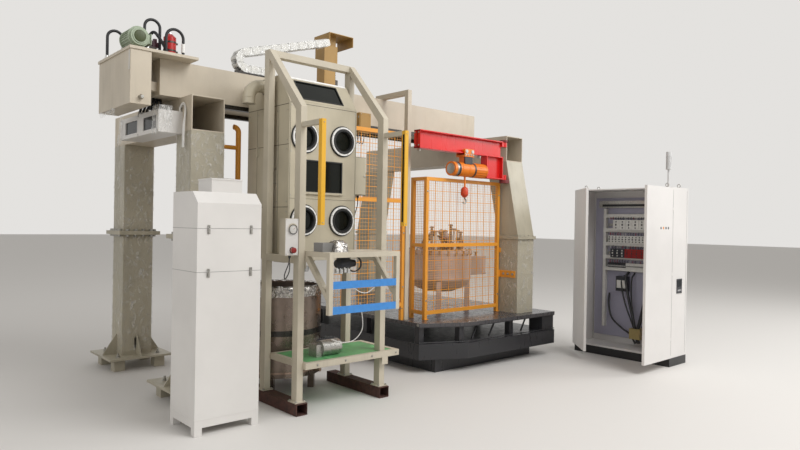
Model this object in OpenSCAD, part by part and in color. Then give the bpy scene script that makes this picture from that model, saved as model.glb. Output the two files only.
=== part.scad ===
// Gantry die casting machine: glove booth, ladle furnace and jib under one gantry.
// Millimetres, Z up. Origin on the floor, at the middle of the machine's plan.
// X runs along the main beam, Y runs from the operator's side to the back.
// Plan places are measured from the front left corner of the left front column.

/* [Gantry] */
// Width of the square column and cross beam tubes
col_w = 315; // [290:5:330]
// Wall of the square tubes
tube_t = 10; // [6:1:16]
// Distance between the left faces of the left and right columns
gantry_span = 3910; // [3880:5:3990]
// Length of the left cross beam, front to back
left_beam_l = 2000; // [1900:10:2200]
// Length of the right cross beam, front to back
right_beam_l = 2780; // [2750:5:2800]
// Underside of the cross beams above the floor
beam_z = 2420; // [2400:5:2480]
// Set-back of the main beam behind the left front column's face
main_y = 250; // [240:2:270]
// Width of the main beam, front to back
main_w = 580; // [560:5:640]
// Height of the main beam
main_h = 325; // [300:5:330]
// Overhang of the main beam past the left column
main_over = 190; // [160:5:220]
// Sideways lean of each right column head, bottom to top
splay = 200; // [150:5:220]
// Side of each column base plate
base_w = 665; // [600:5:680]
// Thickness of each column base plate
base_t = 20; // [12:1:30]
// Height of the levelling blocks under the base plates
foot_h = 120; // [90:5:140]
// Side of each levelling block
foot_w = 110; // [90:5:140]
// Height of the bolted column joint above the floor
joint_z = 1450; // [1400:10:1500]
// Side of the joint flanges on the left columns
flange_w = 435; // [400:5:460]
// Thickness of one joint flange
flange_t = 20; // [12:1:26]
// Height of the stiffening gussets on the base plates
gusset_h = 230; // [180:5:260]

/* [Hydraulic unit] */
// Gap between the oil tank and the end of the main beam
tank_gap = 138; // [120:2:160]
// Width of the oil tank along the beam
tank_w = 177; // [160:1:220]
// Length of the oil tank, front to back
tank_l = 820; // [780:5:880]
// Depth of the oil tank below its lid
tank_h = 460; // [420:5:500]
// Thickness of the tank lid
lid_t = 25; // [10:1:30]
// Diameter of the pump motor
motor_d = 160; // [140:2:180]
// Diameter of the accumulator
accu_d = 112; // [100:2:130]
// Height of the accumulator
accu_h = 250; // [220:5:280]
// Diameter of the hydraulic hoses
hose_d = 26; // [18:1:32]
// Length of the instrument box under the tank, front to back
meter_l = 970; // [900:10:1050]
// Height of the instrument box
meter_h = 200; // [180:5:230]
// Depth of the instrument box
meter_w = 220; // [200:5:250]

/* [Manipulator] */
// Distance from the left column to the mast
mast_x = 1750; // [1720:5:1800]
// Width of the square mast
mast_w = 150; // [130:5:170]
// Height of the mast above the main beam
mast_h = 630; // [560:5:660]
// Height of the beam rails
rail_h = 30; // [20:1:34]
// Running gap between the carriage and its rails
run_gap = 0.3; // [0.2:0.1:0.5]
// Depth of the energy chain
chain_t = 80; // [60:2:90]
// Width of the energy chain
chain_w = 110; // [90:2:120]
// Outer radius of the chain's bend
chain_r = 125; // [110:1:140]
// Rise of the upper chain run over its length
chain_rise = 302; // [260:2:380]

/* [Booth] */
// Distance from the left column to the booth
booth_x = 650; // [645:1:660]
// Width of the booth
booth_w = 750; // [740:1:755]
// Depth of the booth, front to back
booth_d = 740; // [700:2:745]
// Height of the booth floor above the ground
booth_z = 1330; // [1300:5:1360]
// Height of the upright front panel
front_h = 1370; // [1350:5:1400]
// Height of the sloped panel above the front panel
slope_h = 250; // [230:2:280]
// Depth of the sloped panel, front to back
slope_d = 180; // [160:2:220]
// Thickness of the booth panels
panel_t = 5; // [3:0.5:8]
// Diameter of the glove port holes
port_d = 200; // [180:2:220]
// Outer diameter of the glove port rings
ring_d = 268; // [256:2:270]
// Distance between the two glove ports of a row
port_pitch = 423; // [410:1:430]
// Height of the upper glove ports above the booth floor
port_high = 1055; // [1040:1:1070]
// Height of the lower glove ports above the booth floor
port_low = 307; // [290:1:330]
// Width of the viewing window
window_w = 405; // [380:1:420]
// Height of the viewing window
window_h = 277; // [250:1:290]
// Height of the viewing window's sill above the booth floor
window_z = 570; // [560:1:590]
// Diameter of the exhaust elbows
duct_d = 115; // [100:1:125]

/* [Operator station] */
// Width of a station leg
leg_w = 60; // [50:1:64]
// Depth of a station leg, front to back
leg_d = 80; // [60:1:90]
// Distance between the outer faces of the two station frames
station_w = 965; // [955:1:975]
// Distance from the front legs to the back legs
leg_pitch = 530; // [510:1:545]
// Height at which the front legs lean back
knee_z = 2600; // [2560:5:2640]
// Height of the station's top bar
station_h = 3170; // [3140:5:3200]
// Height of the brown skids
skid_h = 100; // [80:1:110]
// Width of the brown skids
skid_w = 110; // [100:1:120]
// Length of the brown skids
skid_l = 840; // [800:5:900]
// Height of the matted step
step_h = 430; // [400:5:460]
// Length of the matted step along the station
step_l = 1045; // [1000:5:1080]
// Height of the shelf in front of the booth
shelf_z = 1375; // [1350:5:1400]
// Reach of the shelf in front of the legs
shelf_d = 350; // [330:5:370]
// Width of the shelf
shelf_w = 760; // [740:5:790]
// Height of the light curtain posts
curtain_h = 860; // [800:10:900]
// Diameter of the dip tank
dip_d = 800; // [760:5:804]
// Height of the dip tank's rim
dip_z = 1000; // [960:5:1040]

/* [Fences] */
// Section of the fence frame tubes
fence_t = 40; // [30:1:44]
// Height of the front fence's top edge
fence_top = 2150; // [2100:5:2160]
// Height of the tall fence's top edge
tall_top = 2630; // [2590:5:2650]
// Height of the tall fence's lower edge
tall_low = 700; // [660:5:740]
// Thickness of the fence wires
wire_t = 6; // [4:1:8]
// Spacing of the main fence wires
wire_pitch = 112; // [100:1:140]
// Side of the tall bare post
post_w = 55; // [50:1:60]

/* [Platform and furnace] */
// Height of the platform's deck
deck_z = 545; // [530:5:560]
// Thickness of the deck plate
deck_t = 40; // [30:1:50]
// Length of the platform along the beam
deck_l = 2090; // [2060:5:2120]
// Depth of the platform, front to back
deck_d = 3520; // [3500:5:3560]
// Height of the platform's lower box
lower_h = 170; // [150:5:180]
// Height of the recessed platform base
plinth_h = 150; // [120:5:170]
// Radius of the furnace
pot_r = 425; // [400:5:440]
// Height of the furnace flange
pot_top = 1270; // [1240:5:1300]
// Height of the furnace's dished bottom
pot_low = 750; // [720:5:780]

/* [Jib] */
// Length of the jib boom from its hinge to the free end
boom_l = 1475; // [1440:5:1480]
// Height of the boom's section
boom_h = 200; // [180:2:206]
// Width of the boom's flanges
boom_w = 100; // [90:2:110]
// Thickness of the flanges and webs
web_t = 12; // [8:1:14]
// Underside of the boom above the floor
boom_z = 2445; // [2440:1:2450]
// Lower end of the jib's hanging mast
jib_low = 2180; // [2170:2:2190]
// Width of the jib's mast, along the boom
jib_mast_w = 300; // [280:2:310]
// Diameter of the jib's hinge pins
pin_d = 40; // [36:1:44]
// Radial clearance of the hinge pins
pin_gap = 0.05; // [0.03:0.01:0.08]
// Length of the hoist
hoist_l = 560; // [520:5:566]
// Diameter of the hoist drum housing
hoist_d = 165; // [150:1:168]
// Length of the hook chain below the hoist
hook_drop = 200; // [180:5:220]

/* [Filter cabinet] */
// Width of the filter cabinet
filter_w = 535; // [500:5:560]
// Depth of the filter cabinet
filter_d = 450; // [420:5:480]
// Height of the filter cabinet's upright body
filter_h = 1755; // [1700:5:1800]
// Height of the outlet box's top
outlet_z = 1954; // [1920:2:1990]
// Bore of the outlet socket in the filter head
outlet_d = 200; // [160:5:210]

/* [Electric cabinet] */
// Width of the electric cabinet, front to back of the machine
cab_w = 1260; // [1200:5:1300]
// Depth of the electric cabinet
cab_d = 420; // [380:5:450]
// Height of the electric cabinet above its plinth
cab_h = 2000; // [1900:10:2100]
// Height of the cabinet's plinth
cab_plinth = 100; // [80:5:120]
// Wall of the cabinet
cab_t = 15; // [8:1:20]
// Thickness of a cabinet door
door_t = 30; // [20:1:40]
// Gap between a closed door and the cabinet's front
door_gap = 5; // [5:0.5:8]
// Diameter of the door hinge barrels
barrel_d = 20; // [16:1:24]
// Diameter of the door hinge pins
door_pin_d = 10; // [8:1:12]
// Angle at which the far door stands open
far_open = 45; // [30:1:60]

/* [Hidden] */
$fn = 48;
e = 1;

// Plan reach of the machine from the datum corner, used to centre the origin
lid_over = 515;
cab_x = 4930;
cab_y = -2022;
hinge_off = 12;
deck_x = 2370;
deck_y = -760;
plan_x0 = -lid_over;
plan_x1 = cab_x + cab_d;
plan_y0 = cab_y - hinge_off - door_t / 2;
plan_y1 = deck_y + deck_d;
gx = -(plan_x0 + plan_x1) / 2;
gy = -(plan_y0 + plan_y1) / 2;

// Gantry
cross_top = beam_z + col_w;
main_top = cross_top + main_h;
base_in = (base_w - col_w) / 2;
column_z = foot_h + base_t;
head_z = joint_z + 2 * flange_t;
right_beam_y = (left_beam_l - right_beam_l) / 2;
right_front_y = right_beam_y - splay;
rail_front_y = main_y + 180;
rail_rear_y = main_y + main_w - 40 - rail_h;
rail_x0 = 1500;
bend_x = 695;
chain_gap = 10;
mast_top = main_top + rail_h + run_gap + mast_h;
cap_h = 190;
bracket_l = 330;
bracket_w = 300;
bracket_h = 110;

// Hydraulic unit
tank_x1 = -main_over - tank_gap;
tank_x0 = tank_x1 - tank_w;
tank_y0 = main_y - 170;
lid_x1 = 90;
lid_z = main_top;
lid_top = lid_z + lid_t;
motor_z = lid_top + motor_d / 2 + 20;
meter_z = beam_z - 20;

// Booth
booth_y = -570;
wall_h = front_h + slope_h;
booth_top = booth_z + wall_h;
port_x = [for (s = [-1, 1]) booth_x + booth_w / 2 + s * port_pitch / 2];
port_z = [booth_z + port_low, booth_z + port_high];
duct_y = -150;
duct_z = booth_top - 80;
duct_stub = 60;
duct_r = 115;
duct_t = 5;

// Operator station
leg_x = [booth_x - 95, booth_x - 95 + station_w - leg_w];
leg_y = -900;
back_y = leg_y + leg_pitch;
bar_h = 60;
dip_x = 960;
dip_y = 42;

// Filter cabinet, light curtains and barrier bands
filter_x = -335;
filter_y = -895;
outlet_l = 60;
curtain_z = 1600;
band_z = [875, 1080];

// Platform, fences and jib
tall_y = -170;
fence_x = 2600;
fence_gap = 6;
joint_over = 20;
fence_l = gantry_span - joint_over - fence_gap - fence_x;
fence_y = -320;
post_x = 2420;
fence_low = 600;
fence_mid = 760;
fence_turn = 217;
hinge_x = gantry_span - 60;
hinge_y = right_beam_y;
door_axis = door_t / 2 + door_gap;
hinge_z = [for (f = [0.12, 0.5, 0.88]) cab_plinth + f * cab_h];
pot_x = 3550;
pot_y = 400;

module place(x = 0, y = 0, z = 0) {
  translate([gx + x, gy + y, z]) children();
}

module square_tube(w, h, t) {
  difference() {
    cube([w, w, h]);
    translate([t, t, -e]) cube([w - 2 * t, w - 2 * t, h + 2 * e]);
  }
}

// A tube of length l along Y
module beam_tube(w, h, l, t) {
  difference() {
    cube([w, l, h]);
    translate([t, -e, t]) cube([w - 2 * t, l + 2 * e, h - 2 * t]);
  }
}

// An outline in Y and Z, drawn out along X
module side_profile(w) {
  rotate([90, 0, 90]) linear_extrude(w) children();
}

// An outline in X and Z, drawn out along Y
module front_profile(l) {
  translate([0, l, 0]) rotate([90, 0, 0]) linear_extrude(l) children();
}

module column_foot() {
  cube_at = [65, base_w - 65 - foot_w];
  for (x = cube_at, y = cube_at) translate([x, y, 0]) cube([foot_w, foot_w, foot_h]);
  translate([0, 0, foot_h]) cube([base_w, base_w, base_t]);
}

module gussets() {
  reach = base_in - 25;
  for (s = [0, 1]) {
    translate([base_in + (s ? col_w : 0), base_w / 2 - 6, column_z])
      mirror([s ? 0 : 1, 0, 0]) front_profile(12) polygon([[0, 0], [reach, 0], [0, gusset_h]]);
    translate([base_w / 2 - 6, base_in + (s ? col_w : 0), column_z])
      mirror([0, s ? 0 : 1, 0]) side_profile(12) polygon([[0, 0], [reach, 0], [0, gusset_h]]);
  }
}

module joint_flange(w) {
  translate([(col_w - w) / 2, (col_w - w) / 2, joint_z]) cube([w, w, flange_t * 2]);
}

module left_column(y) {
  place(-base_in, y - base_in) {
    column_foot();
    gussets();
    difference() {
      union() {
        translate([base_in, base_in, column_z]) cube([col_w, col_w, beam_z - column_z]);
        translate([base_in, base_in, 0]) joint_flange(flange_w);
      }
      translate([base_in + tube_t, base_in + tube_t, column_z])
        cube([col_w - 2 * tube_t, col_w - 2 * tube_t, beam_z]);
      translate([base_w / 2, base_in - e, 0]) hand_hole();
    }
  }
}

// Oblong hole through the front wall of a column, near its foot
module hand_hole() {
  for (z = [225, 305]) translate([0, 0, z]) rotate([-90, 0, 0]) cylinder(d = 50, h = tube_t + 2 * e);
  translate([-25, 0, 225]) cube([50, tube_t + 2 * e, 80]);
}

module left_front_column() { color("#b9b49c") left_column(0); }

module left_rear_column() { color("#b9b49c") left_column(left_beam_l - col_w); }

module left_cross_beam() {
  color("#c2bca4") place(0, 0, beam_z) beam_tube(col_w, col_w, left_beam_l, tube_t);
}

module main_beam() {
  l = main_over + gantry_span + 110;
  color("#cbc0aa") place(-main_over, main_y, cross_top) difference() {
    cube([l, main_w, main_h]);
    translate([12, 12, 12]) cube([l, main_w - 24, main_h - 24]);
  }
}

module beam_rails() {
  color("#3b3a38") {
    for (y = [rail_front_y, rail_rear_y])
      place(rail_x0, y, main_top) cube([gantry_span - rail_x0 - 20, rail_h, rail_h]);
    place(col_w, main_y, cross_top - 40) cube([gantry_span - col_w, 60, 40]);
    place(col_w, main_y + main_w - 60, cross_top - 40) cube([gantry_span - col_w, 60, 40]);
  }
}

module right_cross_beam() {
  color("#c2bca4") place(gantry_span, right_beam_y, beam_z)
    beam_tube(col_w, col_w, right_beam_l, tube_t);
}

// The leaning head of a right column, h high and leaning by dy
module slanted_tube(h, dy) {
  in_w = col_w - tube_t;
  s = dy / h;
  difference() {
    side_profile(col_w) polygon([[0, 0], [col_w, 0], [col_w + dy, h], [dy, h]]);
    translate([tube_t, 0, 0]) side_profile(col_w - 2 * tube_t) polygon([
      [tube_t - s * e, -e], [in_w - s * e, -e],
      [in_w + s * (h + e), h + e], [tube_t + s * (h + e), h + e]]);
  }
}

module right_column() {
  translate([0, 0, deck_z]) square_tube(col_w, joint_z - deck_z, tube_t);
  joint_flange(col_w + 2 * joint_over);
  translate([0, 0, head_z]) slanted_tube(beam_z - head_z, splay);
}

module right_front_column() {
  color("#b9b49c") place(gantry_span, right_front_y) right_column();
}

module right_rear_column() {
  rear_edge = right_beam_y + right_beam_l + splay;
  color("#b9b49c") place(gantry_span, rear_edge) mirror([0, 1, 0]) right_column();
}

// Oil tank with its lid and the two lugs that fix it to the beam's end
module oil_tank() {
  color("#c9c6b8") {
    place(tank_x0, tank_y0, lid_z - tank_h) cube([tank_w, tank_l, tank_h]);
    place(-lid_over, tank_y0 - 10, lid_z) cube([lid_over + lid_x1, tank_l + 20, lid_t]);
    for (y = [main_y + 60, main_y + main_w - 120])
      place(tank_x1, y, cross_top + 40) cube([tank_gap, 60, 80]);
  }
}

module pump_motor() {
  color("#7f9a86") place(tank_x0 + tank_w / 2, tank_y0 + 60, motor_z) {
    rotate([-90, 0, 0]) cylinder(d = motor_d, h = 230);
    translate([0, 230, 0]) rotate([-90, 0, 0]) cylinder(d = motor_d * 0.8, h = 60);
    translate([0, -30, 0]) rotate([-90, 0, 0]) cylinder(d = motor_d * 0.75, h = 30);
    translate([motor_d / 2 - 20, 60, -30]) cube([60, 90, 80]);
    translate([-50, 30, -motor_z + lid_top]) cube([100, 160, motor_z - lid_top]);
  }
}

module valve_block() {
  color("#6d6a66") place(-330, tank_y0 + 420, lid_top) {
    cube([200, 240, 130]);
    for (y = [20, 95, 170]) translate([30, y, 130]) cube([140, 50, 60]);
    for (y = [45, 120, 195]) translate([100, y, 190]) cylinder(d = 34, h = 45);
    translate([-60, 60, 40]) cube([60, 50, 50]);
  }
}

module accumulator() {
  color("#b02a24") place(-40, tank_y0 + 330, lid_top) {
    cylinder(d = 50, h = 30);
    translate([0, 0, 30]) cylinder(d1 = 60, d2 = accu_d, h = 30);
    translate([0, 0, 60]) cylinder(d = accu_d, h = accu_h - 90);
    translate([0, 0, accu_h - 30]) cylinder(d1 = accu_d, d2 = 50, h = 30);
  }
}

// A hose that leaves the lid, arches over and comes down again
module hose_arch(span, rise) {
  for (x = [0, span]) translate([x, 0, 0]) cylinder(d = hose_d, h = rise, $fn = 20);
  translate([span / 2, 0, rise]) rotate([90, 0, 0])
    rotate_extrude(angle = 180, $fn = 32) translate([span / 2, 0]) circle(d = hose_d, $fn = 16);
}

module hydraulic_hoses() {
  color("#26262a") {
    place(-480, tank_y0 + 685, lid_top) hose_arch(140, 210);
    place(-250, tank_y0 + 390, lid_top) hose_arch(140, 300);
    place(-110, tank_y0 + 240, lid_top) hose_arch(160, 200);
  }
}

module instrument_box() {
  color("#d9d8d2") place(-meter_w, main_y - 60, meter_z) difference() {
    cube([meter_w, meter_l, meter_h]);
    for (y = [40, 505]) translate([-e, y, 30]) cube([13, 330, 130]);
  }
}

// Energy chain: lower run on the beam, bend, and rising upper run
module energy_chain() {
  run_l = 305;
  upper_l = mast_x - 15 - chain_gap - bend_x;
  z0 = main_top + 26;
  y0 = main_y + 40;
  color("#e6e4de") {
    place(bend_x - chain_r - 20, y0 - 10, main_top) cube([run_l + chain_r + 40, chain_w + 20, 26]);
    place(bend_x, y0, z0) cube([run_l, chain_w, chain_t]);
    place(bend_x, y0 + chain_w, z0 + chain_r) rotate([90, 0, 0]) rotate([0, 0, 90])
      rotate_extrude(angle = 180) translate([chain_r - chain_t, 0]) square([chain_t, chain_w]);
    place(bend_x, y0, z0 + 2 * chain_r - chain_t) front_profile(chain_w)
      polygon([[0, 0], [upper_l, chain_rise], [upper_l, chain_rise + chain_t], [0, chain_t]]);
  }
}

module carriage() {
  plate_l = 320;
  plate_y = rail_front_y - 20;
  plate_w = rail_rear_y + rail_h + 20 - plate_y;
  block_z = main_top + rail_h + run_gap;
  color("#b98c3c") {
    for (x = [20, plate_l - 100], y = [rail_front_y - 10, rail_rear_y - 10])
      place(mast_x - 60 + x, y, block_z) cube([80, rail_h + 20, 30]);
    place(mast_x - 60, plate_y, block_z + 30) cube([plate_l, plate_w, 20]);
    place(mast_x, rail_front_y + 50, block_z + 50) cube([mast_w, mast_w, mast_h - 50]);
    place(mast_x - 15, rail_front_y + 35, mast_top - bracket_h - cap_h)
      cube([mast_w + 30, mast_w + 30, cap_h]);
  }
}

module mast_bracket() {
  t = 8;
  color("#c9a13a") place(mast_x - 15, rail_front_y - 60, mast_top + t - bracket_h) difference() {
    cube([bracket_l, bracket_w, bracket_h]);
    translate([t, -e, -e]) cube([bracket_l - 2 * t, bracket_w + 2 * e, bracket_h - t + e]);
  }
}

module drive_box() {
  color("#d09a45") place(1970, main_y - 140, 2620) cube([160, 140, 220]);
}

module booth_outline() {
  polygon([[0, 0], [booth_d, 0], [booth_d, wall_h], [slope_d, wall_h], [0, front_h]]);
}

module booth_front() {
  color("#c4bca6") place(booth_x, booth_y) difference() {
    translate([panel_t, 0, booth_z + panel_t])
      cube([booth_w - 2 * panel_t, panel_t, front_h - panel_t]);
    for (x = port_x, z = port_z) translate([x - booth_x, -e, z])
      rotate([-90, 0, 0]) cylinder(d = port_d, h = panel_t + 2 * e);
    translate([(booth_w - window_w) / 2, -e, booth_z + window_z])
      cube([window_w, panel_t + 2 * e, window_h]);
  }
}

module slope_plate(t, x0, w) {
  translate([x0, 0, booth_z + front_h]) side_profile(w)
    polygon([[0, 0], [slope_d, slope_h], [slope_d, slope_h - t], [t * slope_d / slope_h, 0]]);
}

module booth_slope() {
  color("#c4bca6") place(booth_x, booth_y) difference() {
    slope_plate(8, panel_t, booth_w - 2 * panel_t);
    translate([140, -e, booth_z + front_h + 35]) cube([460, slope_d, slope_h - 75]);
  }
}

module booth_side(x) {
  color("#c4bca6") place(x, booth_y, booth_z) side_profile(panel_t) booth_outline();
}

module booth_left_side() { booth_side(booth_x); }

module booth_right_side() { booth_side(booth_x + booth_w - panel_t); }

module booth_back() {
  color("#c4bca6") place(booth_x + panel_t, booth_y + booth_d - panel_t, booth_z + panel_t)
    cube([booth_w - 2 * panel_t, panel_t, wall_h - 2 * panel_t]);
}

module booth_roof() {
  color("#c4bca6") place(booth_x + panel_t, booth_y + slope_d, booth_top - panel_t)
    cube([booth_w - 2 * panel_t, booth_d - slope_d, panel_t]);
}

module booth_floor() {
  color("#c4bca6") {
    place(booth_x + panel_t, booth_y, booth_z) cube([booth_w - 2 * panel_t, booth_d, panel_t]);
    place(booth_x + booth_w / 2, booth_y + 475, booth_z - 100) hull() {
      translate([-260, -150, 99]) cube([520, 300, 1]);
      translate([-170, -90, 0]) cube([340, 180, 1]);
    }
  }
}

// Window pane, sloped pane and the dark membranes behind the glove ports
module booth_glass() {
  cover = 8;
  pane = 4;
  k = slope_d / slope_h;
  color("#1d2b24") {
    place(booth_x + (booth_w - window_w) / 2 - 15, booth_y + panel_t, booth_z + window_z - 15)
      cube([window_w + 30, pane, window_h + 30]);
    place(booth_x + 100, booth_y, booth_z + front_h) side_profile(booth_w - 200) polygon([
      [cover * k, 0], [slope_d, slope_h - cover],
      [slope_d, slope_h - cover - pane], [(cover + pane) * k, 0]]);
    for (x = port_x, z = port_z) place(x, booth_y + panel_t, z)
      rotate([-90, 0, 0]) cylinder(d = ring_d - 8, h = pane);
  }
}

module port_rings() {
  color("#e9e9e6") for (x = port_x, z = port_z) place(x, booth_y, z) rotate([90, 0, 0])
    difference() {
      cylinder(d = ring_d, h = 22);
      translate([0, 0, -e]) cylinder(d = port_d, h = 22 + 2 * e);
    }
}

// Elbow that leaves the booth wall sideways and turns down
module elbow() {
  rotate([0, 90, 0]) cylinder(d = duct_d, h = duct_stub);
  translate([duct_stub, 0, -duct_r]) rotate([90, 0, 0])
    rotate_extrude(angle = 90) translate([duct_r, 0]) circle(d = duct_d);
  translate([duct_stub + duct_r, 0, -duct_r - duct_stub]) difference() {
    cylinder(d = duct_d, h = duct_stub);
    translate([0, 0, -e]) cylinder(d = duct_d - 2 * duct_t, h = duct_stub + e);
  }
}

module exhaust_elbows() {
  color("#bdb49d") {
    place(booth_x, duct_y, duct_z) mirror([1, 0, 0]) elbow();
    place(booth_x + booth_w, duct_y, duct_z) elbow();
  }
}

module side_box() {
  color("#b8b09a") place(booth_x + booth_w, booth_y + 20, booth_z + 560) cube([140, 170, 370]);
}

// One side of the operator's frame: two legs and the leaning upper tube
module station_frame(x) {
  run = leg_pitch;
  rise = station_h - knee_z;
  drop = leg_w / cos(atan2(rise, run));
  low = knee_z - 27;
  color("#c7bea8") place(x, leg_y) {
    translate([0, 0, skid_h]) cube([leg_w, leg_d, low - skid_h]);
    translate([0, leg_pitch, skid_h]) cube([leg_w, leg_d, station_h - skid_h]);
    side_profile(leg_w) polygon([[0, low], [0, knee_z], [run, station_h],
      [run, station_h - drop], [leg_d, low]]);
    translate([0, leg_d, booth_z - bar_h]) cube([leg_w, run - leg_d, bar_h]);
  }
}

module left_station_frame() { station_frame(leg_x[0]); }

module right_station_frame() { station_frame(leg_x[1]); }

// Cross bars that tie the two frames and carry the booth
module station_bars() {
  inner = station_w - 2 * leg_w;
  x0 = leg_x[0] + leg_w;
  color("#c7bea8") {
    for (y = [booth_y, back_y]) place(x0, y, booth_z - bar_h) cube([inner, leg_d, bar_h]);
    for (x = [booth_x, booth_x + booth_w - bar_h])
      place(x, back_y + leg_d, booth_z - bar_h)
        cube([bar_h, booth_y + booth_d - back_y - leg_d, bar_h]);
    place(x0, back_y, station_h - bar_h) cube([inner, leg_d, bar_h]);
  }
}

module station_skids() {
  color("#4a2f2a") for (x = leg_x) place(x - (skid_w - leg_w) / 2, leg_y - 40, 0)
    beam_tube(skid_w, skid_h, skid_l, 6);
}

module matted_step() {
  frame_h = 50;
  x0 = leg_x[0] + leg_w;
  y0 = leg_y - 40;
  d = leg_pitch + 40;
  color("#4f8f5c") difference() {
    place(x0, y0, step_h - frame_h) cube([step_l, d, frame_h]);
    place(leg_x[1] - 0.3, leg_y - 0.3, step_h - frame_h - e)
      cube([leg_w + 0.6, leg_d + 0.6, frame_h + 2 * e]);
  }
}

// Shelf with its hanging front posts, arms and braces
module shelf_frame() {
  t = 40;
  x0 = leg_x[0] + leg_w + 5;
  y0 = leg_y - shelf_d;
  arm = shelf_d + leg_d - t;
  arm_z = shelf_z - t;
  post_z = 870;
  color("#c7bea8") {
    for (x = [x0, x0 + shelf_w - t]) place(x, y0) difference() {
      side_profile(t) polygon([[0, post_z], [0, shelf_z], [arm, shelf_z], [arm, arm_z],
        [arm - 10, arm_z], [t, shelf_z - 390], [t, post_z]]);
      translate([-e, 0, 0]) side_profile(t + 2 * e)
        polygon([[t, arm_z], [arm - 70, arm_z], [t, shelf_z - 330]]);
    }
    place(x0 + t, y0, shelf_z - t) cube([shelf_w - 2 * t, t, t]);
    place(leg_x[0] + leg_w, leg_y + leg_d - t, shelf_z - t)
      cube([station_w - 2 * leg_w, t, t]);
    place(x0, y0, shelf_z) cube([shelf_w, shelf_d + leg_d, 3]);
  }
}

module blue_bands() {
  t = 40;
  x0 = leg_x[0] + leg_w + 5;
  color("#3b86d8") for (z = band_z)
    place(x0 + t, leg_y - shelf_d, z) cube([shelf_w - 2 * t, 12, 62]);
}

module light_curtains() {
  arm_l = 250;
  color("#d9a92e") for (x = leg_x) {
    place(x + 10, leg_y - arm_l - 45, curtain_z) cube([40, 45, curtain_h]);
    place(x + 10, leg_y - arm_l, curtain_z + curtain_h - 40) cube([40, arm_l, 40]);
  }
}

module button_box() {
  color("#d8d4c6") place(leg_x[0] - 130, leg_y + 10, 1340) {
    cube([130, 90, 310]);
    translate([70, 0, 45]) rotate([90, 0, 0]) cylinder(d = 40, h = 30);
    translate([70, 0, 230]) rotate([90, 0, 0]) cylinder(d = 80, h = 12);
  }
}

module step_motor() {
  color("#a8a8a4") place(leg_x[0] + 330, leg_y + 150, step_h) {
    translate([0, 0, 70]) rotate([0, 90, 0]) cylinder(d = 140, h = 200);
    cube([200, 140, 20]);
    translate([-60, -40, 0]) cube([60, 120, 110]);
  }
}

module dip_tank() {
  wall = 12;
  color("#b8a498") place(dip_x, dip_y) {
    for (a = [45 : 90 : 315]) rotate([0, 0, a]) translate([dip_d / 2 - 110, -30, 0])
      cube([60, 60, 160]);
    difference() {
      translate([0, 0, 160]) cylinder(d = dip_d, h = dip_z - 160);
      translate([0, 0, 180]) cylinder(d = dip_d - 2 * wall, h = dip_z);
    }
  }
}

module guard_rail() {
  t = 50;
  guard_x = 548;
  guard_y = 175;
  color("#d98a1f") {
    place(guard_x, guard_y, 0) cylinder(d = t, h = 2467);
    place(guard_x, guard_y, 0) cylinder(d = 120, h = 12);
    place(col_w, guard_y, 2320) rotate([0, 90, 0]) cylinder(d = t - 10, h = guard_x - col_w);
    place(guard_x - t, guard_y, 2467) rotate([90, 0, 0]) rotate_extrude(angle = 90)
      translate([t, 0]) circle(d = t);
  }
}

// Fence panel in X and Z: frame, a middle rail and the main wires
module fence_panel(l, h, mid) {
  for (x = [0, l - fence_t]) translate([x, 0, 0]) cube([fence_t, fence_t, h]);
  for (z = [0, mid, h - fence_t]) translate([fence_t, 0, z])
    cube([l - 2 * fence_t, fence_t, fence_t]);
  in_l = l - 2 * fence_t;
  in_h = h - 2 * fence_t;
  nx = floor(in_l / wire_pitch);
  nz = floor(in_h / wire_pitch);
  y = (fence_t - wire_t) / 2;
  for (i = [1 : nx - 1]) translate([fence_t + i * in_l / nx - wire_t / 2, y, fence_t])
    cube([wire_t, wire_t, in_h]);
  for (i = [1 : nz - 1]) translate([fence_t, y, fence_t + i * in_h / nz - wire_t / 2])
    cube([in_l, wire_t, wire_t]);
}

module tall_fence() {
  l = post_x - booth_x - booth_w;
  color("#dc8a2c") place(booth_x + booth_w, tall_y, tall_low)
    fence_panel(l, tall_top - tall_low, 1150);
  color("#dc8a2c") place(post_x - fence_t, tall_y, deck_z)
    cube([fence_t, fence_t, tall_low - deck_z]);
}

module front_fence() {
  color("#dc8a2c") {
    place(fence_x, fence_y, fence_low) fence_panel(fence_l, fence_top - fence_low, fence_mid);
    for (x = [fence_x, fence_x + fence_l - fence_t])
      place(x, fence_y, deck_z) cube([fence_t, fence_t, fence_low - deck_z]);
    place(fence_x + fence_l, fence_y - 10, 1280)
      cube([gantry_span - fence_x - fence_l, fence_t + 20, 60]);
  }
}

module fence_return() {
  color("#dc8a2c") {
    place(fence_x, fence_y + fence_turn, deck_z)
      cube([fence_t, fence_t, fence_top - deck_z]);
    for (z = [0, fence_mid, fence_top - fence_low - fence_t])
      place(fence_x, fence_y + fence_t, fence_low + z)
        cube([fence_t, fence_turn - fence_t, fence_t]);
  }
}

module tall_post() {
  color("#cdc6b6") {
    place(post_x, tall_y - 15, deck_z) cube([post_w, post_w, main_top + post_w - deck_z]);
    place(post_x, tall_y - 15 + post_w, main_top)
      cube([post_w, main_y + 130 - tall_y - post_w + 15, post_w]);
  }
}

module deck_outline() {
  polygon([[0, 280], [520, 30], [deck_l, 0], [deck_l, deck_d], [0, deck_d]]);
}

module platform_deck() {
  color("#3a3a3c") place(deck_x, deck_y, deck_z - deck_t) linear_extrude(deck_t) deck_outline();
}

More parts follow.
